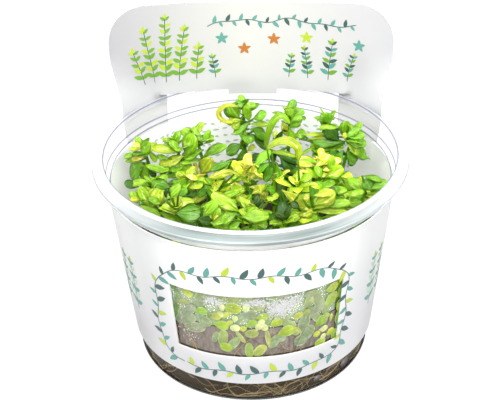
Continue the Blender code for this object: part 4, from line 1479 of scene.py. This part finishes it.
def held_inside(x, y, depth):
    """The seen point at a pixel, moved back along its ray until it is inside the tub."""
    point = from_pixel(x, y, depth)
    while not inside_cup([point]) and depth < 40 * MM:
        depth += MM
        point = from_pixel(x, y, depth)
    return point


def pixel_size(point):
    """How large a pixel is at a point."""
    return (CAMERA_PLACE - point).length / FOCAL_PIXELS


def blade_axes(point, along, upward, tilt=0.0):
    """Side and normal of a blade that faces between the camera and the sky."""
    facing = (CAMERA_PLACE - point).normalized() + Vector((0, 0, upward))
    side = (Matrix.Rotation(tilt, 3, along) @ facing).cross(along).normalized()
    return side, along.cross(side)


def blade_matrix(root, tip, tilt):
    along = (tip - root).normalized()
    turn = Matrix((along, *blade_axes(root, along, 0.35, tilt))).transposed().to_4x4()
    return Matrix.Translation(root) @ turn


def add_twig(soup, place, root, value):
    """A thin side stem from a shoot to the root of a leaf."""
    reach = (root - place).length
    if reach < 0.6 * MM:
        return
    bend = place.lerp(root, 0.5) + Vector((0, 0, -0.16 * reach))
    add_stem(soup, [place, bend, root], *TWIG_RADII, tone(min(value, 2.6) - 0.4), 6)


def pictured_leaves(shoots, soups):
    rng = random.Random(9)
    for numbers, leaves in CLUMPS:
        samples = stem_samples(shoots, numbers)
        for root_x, root_y, tip_x, tip_y, width, value in leaves:
            number, place, _ = nearest_sample(samples, root_x, root_y)
            root = held_inside(root_x, root_y, place.y - LEAF_IN_FRONT)
            tip = held_inside(tip_x, tip_y, root.y + rng.uniform(-1.6, 1.0) * MM)
            tilt = rng.uniform(-0.45, 0.45)
            colour = tone(value + rng.uniform(-0.15, 0.15))
            add_leaf(soups[number], blade_matrix(root, tip, tilt), (tip - root).length * 1.1,
                     width * 1.2 * pixel_size(root) / math.cos(tilt), rng.uniform(0.05, 0.3),
                     rng.uniform(0.05, 0.35), rng.uniform(-0.25, 0.25), colour,
                     widest=rng.uniform(0.46, 0.62), wave=rng.uniform(0.0, 0.12))
            add_twig(soups[number], place, root, value)


def curled_leaves(shoots, soups):
    for number, width, value, pixels in CURLED:
        index, place, _ = nearest_sample(stem_samples(shoots, (number,)), *pixels[0])
        path = [held_inside(x, y, place.y - 2 * LEAF_IN_FRONT) for x, y in pixels]
        add_strap(soups[index], path, width * pixel_size(path[0]), tone(value))
        add_twig(soups[index], place, path[0], value)


def add_strap(soup, path, width, colour):
    """A blade whose midrib follows a path."""
    middle = smooth_path(path, 5)
    last = len(middle) - 1
    verts = []
    marks = []
    for index, point in enumerate(middle):
        along = index / last
        tangent = (middle[min(index + 1, last)] - middle[max(index - 1, 0)]).normalized()
        side, normal = blade_axes(point, tangent, 0.5)
        half = outline(min(0.12 + 0.88 * along, 1.0), 0.5) * width / 2
        for across, swell in RING:
            lift = 0.3 * half * across * across + swell * BLADE_HALF_THICKNESS
            verts.append(tuple(point + side * (across * half) + normal * lift))
            marks.append((along, (across + 1.0) / 2.0, 0.0))
    soup.add(verts, blade_faces(len(middle)), tint=colour, blade=marks)


def build_shoots(material):
    rng = random.Random(77)
    shoots = plan_shoots()
    soups = []
    for shoot in shoots:
        soup = Soup()
        points = shoot["points"]
        base_tone = shoot_tone(points[-1])
        add_stem(soup, points, STEM_RADIUS, 0.62 * STEM_RADIUS, tone(base_tone - 0.7))
        for leaf in shoot["leaves"]:
            value = base_tone - 1.9 + 2.2 * leaf["share"] + rng.uniform(-0.7, 0.7)
            add_leaf(soup, leaf["matrix"], leaf["length"] * 1.03, leaf["width"] * 0.98,
                     leaf["droop"], 0.25 + rng.uniform(-0.1, 0.15), rng.uniform(-0.25, 0.25),
                     tone(value), wave=rng.uniform(0.0, 0.12))
        extra_leaves(rng, shoot, soup, base_tone)
        add_crown(rng, soup, points, base_tone)
        soups.append(soup)
    pictured_leaves(shoots, soups)
    curled_leaves(shoots, soups)
    for number, soup in enumerate(soups, 1):
        soup.build(f"plantlet_{number:02d}", "leaf", material, f"shoot_{number:02d}")


# Small leaves near the gel, under the plantlets' crowns

LOW_LEAF_COUNT = 150
LOW_LEAF_REACH = 36.5 * MM


def build_low_leaves(material):
    rng = random.Random(52)
    soup = Soup()
    for _ in range(LOW_LEAF_COUNT):
        angle = rng.uniform(-math.pi, math.pi)
        reach = LOW_LEAF_REACH * math.sqrt(rng.uniform(0.01, 1.0))
        place = from_front(reach, angle, rng.uniform(31.5, 38.0) * MM)
        size = rng.uniform(0.45, 0.85)
        turn = rng.uniform(-math.pi, math.pi)
        matrix = leaf_matrix(place, turn, math.radians(rng.uniform(5, 50)),
                             math.radians(rng.uniform(-30, 30)))
        if loose_leaf(rng, soup, place, matrix, size, 0.0, (0.4, 2.4)):
            foot = Vector((place.x, place.y, GEL_TOP - 0.5 * MM))
            add_stem(soup, [foot, place], 0.5 * MM, 0.35 * MM, tone(1.6), 6)
    soup.build("low_leaves", "leaf", material)


# Leaves pressed against the wall, seen in the window

# Pixel of each leaf's middle, its length, width and slope in the picture, its tone and mist
WINDOW_LEAVES = (
    (185.5, 319.2, 18.8, 13.8, 20, 2.6, 0.55), (194.2, 327.4, 21.2, 11.2, 0, 2.7, 0.55),
    (204.2, 321.1, 15, 11.2, -50, 2.9, 0.5), (200.5, 299.2, 18.8, 13.8, 60, 3.1, 0.5),
    (181.8, 301.8, 15, 5, -8, 3.9, 0.4), (188, 310.5, 15, 10, 35, 2.6, 0.6),
    (178, 315.5, 12.5, 8.8, 80, 2.4, 0.6), (213, 318, 13.8, 8.8, -40, 3, 0.4),
    (233, 300.5, 15, 10, 25, 3.6, 0.35), (248, 315.5, 16.2, 11.2, 0, 2.4, 0.55),
    (239.2, 319.2, 11.2, 7.5, 40, 2.6, 0.5), (256.8, 306.1, 17.5, 10, -12, 3.9, 0.3),
    (245.5, 299.2, 13.8, 7.5, 10, 3.3, 0.4), (270.5, 300.5, 15, 7.5, -20, 3, 0.45),
    (266.8, 319.2, 15, 10, 60, 3.2, 0.4), (281.8, 319.2, 16.2, 11.2, 20, 3.3, 0.45),
    (288, 324.2, 16.2, 10, -25, 3.4, 0.4), (304.2, 323, 17.5, 11.2, 75, 2.2, 0.5),
    (306.8, 334.2, 20, 13.8, 70, 1.9, 0.45), (300.5, 340.5, 13.8, 10, 20, 2.2, 0.5),
    (314.2, 314.2, 21.2, 8.8, -50, 3.2, 0.55), (309.2, 301.8, 17.5, 8.8, 60, 3.6, 0.4),
    (319.2, 301.8, 20, 11.2, -65, 3.4, 0.5), (316.8, 309.2, 18.8, 7.5, 30, 2.8, 0.6),
    (311.8, 294.2, 13.8, 7.5, 10, 3.3, 0.5), (295.5, 299.2, 11.2, 6.2, 20, 3.5, 0.3),
    (325.5, 309.2, 15, 7.5, 80, 3.4, 0.4), (220.5, 299.2, 13.8, 8.8, -30, 3.3, 0.4),
    (172.4, 293, 13.8, 8.8, 80, 1.7, 0.2), (173, 303, 15, 7.5, 85, 1.5, 0.15),
    (174.2, 313, 13.8, 8.8, 75, 1.6, 0.1), (175.5, 296.8, 10, 6.2, 60, 2.1, 0.25),
    (280.5, 308, 18.8, 8.8, -8, 3.2, 0.4), (271.8, 309.2, 13.8, 7.5, 10, 2.9, 0.45),
    (223, 338, 16.2, 9.8, 82, 3.4, 0.3), (233, 344.2, 17.5, 8.8, 48, 3, 0.4),
    (240.5, 336.8, 15, 4.5, -52, 4, 0.3), (251.8, 333.6, 13.8, 8.2, 12, 3.8, 0.3),
    (274.2, 341.8, 16.2, 8.8, 60, 2.6, 0.45), (268, 338, 18.8, 5.2, -78, 4.1, 0.3),
    (259.9, 350.5, 15, 10, 48, 4, 0.2), (249.2, 349.9, 15, 8.5, -85, 3.4, 0.2),
    (215.5, 336.8, 11.2, 6.2, 70, 2.8, 0.5), (280.5, 338, 11.2, 7.5, 0, 2.9, 0.5),
    (295.5, 331.1, 10, 7.8, 35, 4, 0.25), (187.4, 293, 12.5, 5.8, -34, 4.3, 0.05),
    (200.5, 311, 13, 9.2, 2, 3.1, 0.05), (233, 308.2, 17.5, 10.5, -14, 3.9, 0.05),
    (221.8, 308, 7.8, 6.2, 82, 4.8, 0.15), (220.5, 314.2, 8.2, 5.8, -40, 4.7, 0.1),
    (216.1, 315.5, 11, 7.5, -32, 4.5, 0.1), (225.5, 315.5, 8.8, 5.5, 50, 4.2, 0.05),
    (221.1, 325, 16.2, 9.5, -8, 3.5, 0), (228, 323.6, 10, 5, 35, 4.3, 0.05),
    (235, 319.2, 7, 6, 80, 4.9, 0.1), (243, 328.5, 7, 5.5, -20, 4.4, 0),
    (234.9, 327.8, 10.2, 7, 5, 5, 0.12), (251.1, 323.8, 12, 7, 32, 3.3, 0),
    (261.8, 317, 13, 7.5, 8, 3.8, 0), (246.2, 307.5, 10, 7.2, 80, 4.9, 0.2),
    (275.5, 323, 13.8, 8.8, 38, 3.9, 0), (258.6, 327, 9.5, 7.5, 60, 5, 0.15),
    (263.8, 326.2, 9.5, 7.5, -60, 5, 0.15), (261, 321.8, 7.5, 6.2, 5, 4.7, 0.1),
    (285.5, 331.2, 18.8, 10.5, 24, 3.7, 0), (298, 315.5, 12, 5.5, 34, 4.3, 0.15),
    (306.8, 311.8, 7.5, 4.5, 50, 4, 0.2), (320.5, 320.8, 16.2, 8.5, 44, 3.3, 0),
    (330.8, 298.6, 17.5, 8.8, 62, 3.7, 0.1), (331.2, 287.5, 15, 8.2, 28, 4, 0.05),
    (338.6, 304.9, 12, 6.2, 85, 3.9, 0), (337, 318.6, 16.2, 6.2, 85, 3, 0),
    (341.1, 289.9, 15, 7, 80, 2.3, 0), (330.5, 317, 8.2, 3.5, 82, 4.5, 0.1),
    (329.5, 331.1, 10, 5, 58, 4.4, 0), (319.5, 341.5, 12.5, 6.8, 34, 3.7, 0),
    (316.2, 333.5, 7.8, 5.5, 25, 4.4, 0), (322.6, 328.2, 9.2, 7, 15, 5, 0.1),
    (322.5, 336, 7, 5.2, 70, 4.8, 0), (226.1, 346.5, 13, 8, -18, 3.6, 0),
    (333.6, 333, 11.2, 6.2, 75, 3.2, 0), (325.5, 315.5, 8.8, 5, 50, 3.6, 0.2),
)
MIST_COLOUR = (0.39, 0.34, 0.28)
PALE_YELLOW = (0.9, 0.9, 0.45)
YOUNG_TONE = 4.6
MID_WALL_RADIUS = 40 * MM
PRESSED_CURL = 0.04 * MM
LEANING_CURL = 0.5 * MM
LEANING_LEAVES = 400
LEANING_IN_WINDOW = 270


def wall_pixel(angle, z):
    """The pixel of a point on the face of the leaves that touch the wall."""
    return np.array(to_pixel(from_front(wall_inner_radius(z) + 0.25 * MM, angle, z)))


def pixel_steps(angle, z):
    """How the pixel moves for a step round the wall and for a step up it."""
    step = 0.1 * MM
    bearing = step / MID_WALL_RADIUS
    round_it = (wall_pixel(angle + bearing, z) - wall_pixel(angle - bearing, z)) / (2 * step)
    up_it = (wall_pixel(angle, z + step) - wall_pixel(angle, z - step)) / (2 * step)
    return np.stack([round_it, up_it], axis=1)


def on_wall(x, y):
    """Angle and height on the wall that the camera sees at a pixel."""
    angle = 0.0
    z = 35 * MM
    for _ in range(12):
        move = np.linalg.solve(pixel_steps(angle, z), np.array((x, y)) - wall_pixel(angle, z))
        angle += move[0] / MID_WALL_RADIUS
        z += move[1]
    return angle, z


def wall_size(angle, z, length, width, slope):
    """Length, width and turn on the wall of a leaf with these measures in the picture."""
    steps = pixel_steps(angle, z)
    slope = math.radians(slope)
    along = np.linalg.solve(steps, np.array((math.cos(slope), -math.sin(slope))) * length)
    turn = math.atan2(along[1], along[0])
    across = steps @ np.array((-math.sin(turn), math.cos(turn)))
    return np.linalg.norm(along), width / np.linalg.norm(across), turn


def wall_leaf(soup, angle, z, length, width, turn, colour, depth, curl_depth):
    """A blade that lies along the inside of the cup's wall, curved as the wall is."""
    shape = outline if int(abs(angle) * 1000) % 3 == 0 else round_outline
    verts, faces, marks = fine_leaf(length, width, 0.0, 0.0, 0.0, 0.58, shape=shape)
    marks[:, 2] = (angle * 13.7 + z * 977) % 1.0
    verts[:, 0] -= length / 2
    along, across, lift = verts.T
    sideways = along * math.cos(turn) - across * math.sin(turn)
    height = z + (along * math.sin(turn) + across * math.cos(turn))
    curl = ((along / length) ** 2 + 0.5 * (across / width) ** 2) * curl_depth
    radius = wall_inner_radius(height) - depth - curl + lift * 0.3
    bearing = angle + sideways / MID_WALL_RADIUS
    points = np.stack([radius * np.sin(bearing), -radius * np.cos(bearing), height], axis=1)
    soup.add(points, faces, tint=colour, blade=marks)


def pressed_colour(value, mist):
    """The colour of a leaf behind some mist, paler where the leaf is young."""
    colour = tone(min(value, 4.15) + 0.1) * (1 - mist) + np.array(MIST_COLOUR) * mist
    if value > YOUNG_TONE:
        colour = 0.45 * colour + 0.55 * np.array(PALE_YELLOW)
    return colour + 0.03


def build_window_leaves(material):
    """The leaves that touch the wall, then others that lean near it."""
    rng = random.Random(31)
    soup = Soup()
    for number, (x, y, long, wide, slope, value, mist) in enumerate(WINDOW_LEAVES):
        angle, z = on_wall(x, y)
        length, width, turn = wall_size(angle, z, long, wide, slope)
        depth = -0.06 - 0.5 * number / len(WINDOW_LEAVES)
        wall_leaf(soup, angle, z, length, width, turn, pressed_colour(value, mist + 0.06),
                  depth * MM, PRESSED_CURL)
    for number in range(LEANING_LEAVES):
        in_window = number < LEANING_IN_WINDOW
        angle = rng.uniform(-0.72, 0.78) if in_window else rng.uniform(-math.pi, math.pi)
        z = rng.uniform(30.5, 50.0 if in_window else 42.0) * MM
        size = rng.uniform(0.6, 1.0)
        wall_leaf(soup, angle, z, LEAF_LENGTH * size, LEAF_WIDTH * size, rng.uniform(0, math.pi),
                  tone(rng.uniform(1.8, 4.2)), rng.uniform(0.95, 3.2) * MM, LEANING_CURL)
    soup.build("leaves_at_the_wall", "leaf", material, smooth=False)


# Condensation and bubbles

MIST_COLUMNS = 40
# Height and distance from the wall of the corners of the mist's section, in millimetres
MIST_SECTION = ((30.9, 0.62), (46.5, 0.62), (46.5, 0.68), (30.9, 0.68))
# Middle angle, middle height and both spreads of each patch of fine drops, in degrees and
# millimetres, then how many
DROP_PATCHES = ((-16.3, 42.2, 4.6, 2.0, 300), (1.0, 42.4, 7.0, 1.8, 420), (11.1, 39.4, 6.0, 3.2, 1100),
                (17.0, 42.0, 3.6, 2.0, 280), (-29.0, 26.0, 4.0, 3.0, 40), (-36.0, 41.0, 2.4, 3.4, 90))
HIGHEST_FINE_DROP = 45.2 * MM
FINE_DROP_OUTWARD = 0.72 * MM
LARGE_DROPS = 70
LARGE_DROP_INWARD = 0.1 * MM
# Angle, height and size of each bubble, in degrees and millimetres
BUBBLES = ((31.6, 4.4, 1.5), (50.0, 4.2, 2.1), (-64.0, 14.0, 1.0), (118.0, 6.0, 1.6))
BUBBLE_HEIGHT = 0.25 * MM


def haze_material():
    # The haze's green tint is painted light: the green glow of the leaves behind it.
    paint = Paint("condensation_haze", colour=(0.84, 0.91, 0.72), rough=0.5)
    paint.use(cover=paint.ramp(paint.noise(140.0, 4.0), 0.0, 1.0, 0.16, 0.42))
    return paint.material


def build_haze():
    """The misted part of the wall behind the window, above the gel."""
    verts = []
    for column in range(MIST_COLUMNS + 1):
        x = MIST_LEFT + (MIST_RIGHT - MIST_LEFT) * column / MIST_COLUMNS
        for z, inward in MIST_SECTION:
            radius = wall_inner_radius(z * MM) - inward * MM
            verts.append((x, -math.sqrt(radius * radius - x * x), z * MM))
    faces = ring_faces(MIST_COLUMNS + 1, len(MIST_SECTION))
    mist = new_piece("wall_mist", verts, faces, smooth=False)
    complete(mist, "clear_plastic", (haze_material(),))


def dome(middle, z, size, height, inset, turns, rings):
    """A flattened drop on the inside of the wall, from the angle and height of its middle."""
    def place(sideways, upward, lift):
        radius = wall_inner_radius(z + upward) - inset - lift
        return from_front(radius, middle + sideways / MID_WALL_RADIUS, z + upward)

    verts = []
    faces = []
    for ring in range(rings):
        share = math.cos(math.pi / 2 * ring / rings)
        lift = height * math.sin(math.pi / 2 * ring / rings)
        for turn in range(turns):
            angle = 2 * math.pi * turn / turns
            verts.append(place(size * share * math.cos(angle), size * share * math.sin(angle), lift))
    verts.append(place(0.0, 0.0, height))
    last = (rings - 1) * turns
    for low in range(0, last, turns):
        for turn in range(turns):
            after = low + (turn + 1) % turns
            faces.append((low + turn, low + turns + turn, turns + after, after))
    faces += [(last + turn, rings * turns, last + (turn + 1) % turns) for turn in range(turns)]
    faces.append(tuple(range(turns)))
    return verts, faces


def build_drops():
    """Patches of fine drops near the window's top, and larger drops all round."""
    rng = random.Random(8)
    soup = Soup()
    for angle, z, wide, tall, count in DROP_PATCHES:
        for _ in range(count):
            spot_angle = math.radians(angle + rng.gauss(0, wide / 2))
            spot_z = min((z + rng.gauss(0, tall / 2)) * MM, HIGHEST_FINE_DROP)
            size = rng.uniform(0.08, 0.2) * MM
            soup.add(*dome(spot_angle, spot_z, size, size * 0.6, -FINE_DROP_OUTWARD, 7, 2))
    for _ in range(LARGE_DROPS):
        size = rng.uniform(0.12, 0.3) * MM
        soup.add(*dome(rng.uniform(-math.pi, math.pi), rng.uniform(34, 61) * MM, size, size * 0.5,
                       LARGE_DROP_INWARD, 8, 2))
    water = Paint("condensation_drop", colour=(1.0, 1.0, 1.0), rough=0.05, ior=1.33, clear=0.3)
    soup.build("condensation_drops", "clear_plastic", water.material)


def build_bubbles():
    soup = Soup()
    for angle, z, size in BUBBLES:
        soup.add(*dome(math.radians(angle), z * MM, size * MM, BUBBLE_HEIGHT, -GEL_CONTACT - GAP, 20, 5))
    material = grainy("air_bubble", 900.0, (0.05, 0.047, 0.042), (0.2, 0.19, 0.18), rough=0.4, shine=0.25)
    soup.build("air_bubbles", "agar_gel", material)


# Stage, lights and camera

FLOOR_REACH = 3.0
FLOOR_DROP = 0.2 * MM
WORLD_STRENGTH = 0.46
# Name, place, height of the target over the cup's middle, size and power of each light, in metres
LIGHTS = (("key", (0.05, -0.6, 0.62), 0.06, (0.55, 0.4), 9.0),
          ("top", (0.0, -0.1, 1.0), 0.06, (0.6, 0.6), 8.0),
          ("left_fill", (-0.7, -0.2, 0.62), 0.05, (0.5, 0.5), 4.6),
          ("right_fill", (0.7, -0.2, 0.62), 0.05, (0.5, 0.5), 4.6),
          ("front_fill", (0.0, -0.8, 0.12), 0.035, (0.3, 0.2), 2.3))


def build_stage():
    corners = [(x * FLOOR_REACH, y * FLOOR_REACH, 0) for x, y in ((-1, -1), (1, -1), (1, 1), (-1, 1))]
    floor = new_piece("floor", corners, [(0, 1, 2, 3)], smooth=False)
    floor.location.z = -FLOOR_DROP
    white = Paint("pale_floor", colour=(0.06, 0.06, 0.06), rough=0.9, shine=0.0,
                  glow=(1.0, 1.0, 1.0), glow_strength=1.0)
    floor.data.materials.append(white.material)
    floor.visible_diffuse = False


def area_light(name, place, target_height, size, power):
    light = bpy.data.lights.new(name, "AREA")
    light.shape = "RECTANGLE"
    light.size, light.size_y = size
    light.energy = power
    light.spread = math.radians(180)
    lamp = new_object(name, light)
    lamp.location = place
    lamp.visible_camera = False
    direction = Vector((0, 0, target_height)) - Vector(place)
    lamp.rotation_euler = direction.to_track_quat("-Z", "Y").to_euler()


def build_lights():
    world = bpy.data.worlds.new("studio")
    world.use_nodes = True
    background = world.node_tree.nodes["Background"].inputs
    background["Color"].default_value = (1.0, 1.0, 1.0, 1.0)
    background["Strength"].default_value = WORLD_STRENGTH
    bpy.context.scene.world = world
    for light in LIGHTS:
        area_light(*light)


def build_camera():
    data = bpy.data.cameras.new("camera")
    data.lens = CAMERA_LENS
    data.sensor_width = SENSOR_WIDTH
    data.clip_start = 0.01
    camera = new_object("camera", data)
    forward, x_axis, y_axis = camera_axes()
    turn = Matrix((x_axis, y_axis, -forward)).transposed().to_4x4()
    camera.matrix_world = Matrix.Translation(CAMERA_PLACE) @ turn
    bpy.context.scene.camera = camera
    bpy.context.scene.view_settings.view_transform = "Standard"


build_cup()
build_card()
build_print()
build_gel()
build_roots()
leaf_paint = leaf_material("leaf", 1.0, 0.5, (2.2, 1.45, 12.0))
build_shoots(leaf_paint)
build_low_leaves(leaf_paint)
build_window_leaves(leaf_material("pressed_leaf", 0.4, 0.7, (2.1, 1.6, 3.4), (0.62, 0.7, 0.36)))
build_haze()
build_drops()
build_bubbles()
build_stage()
build_lights()
build_camera()
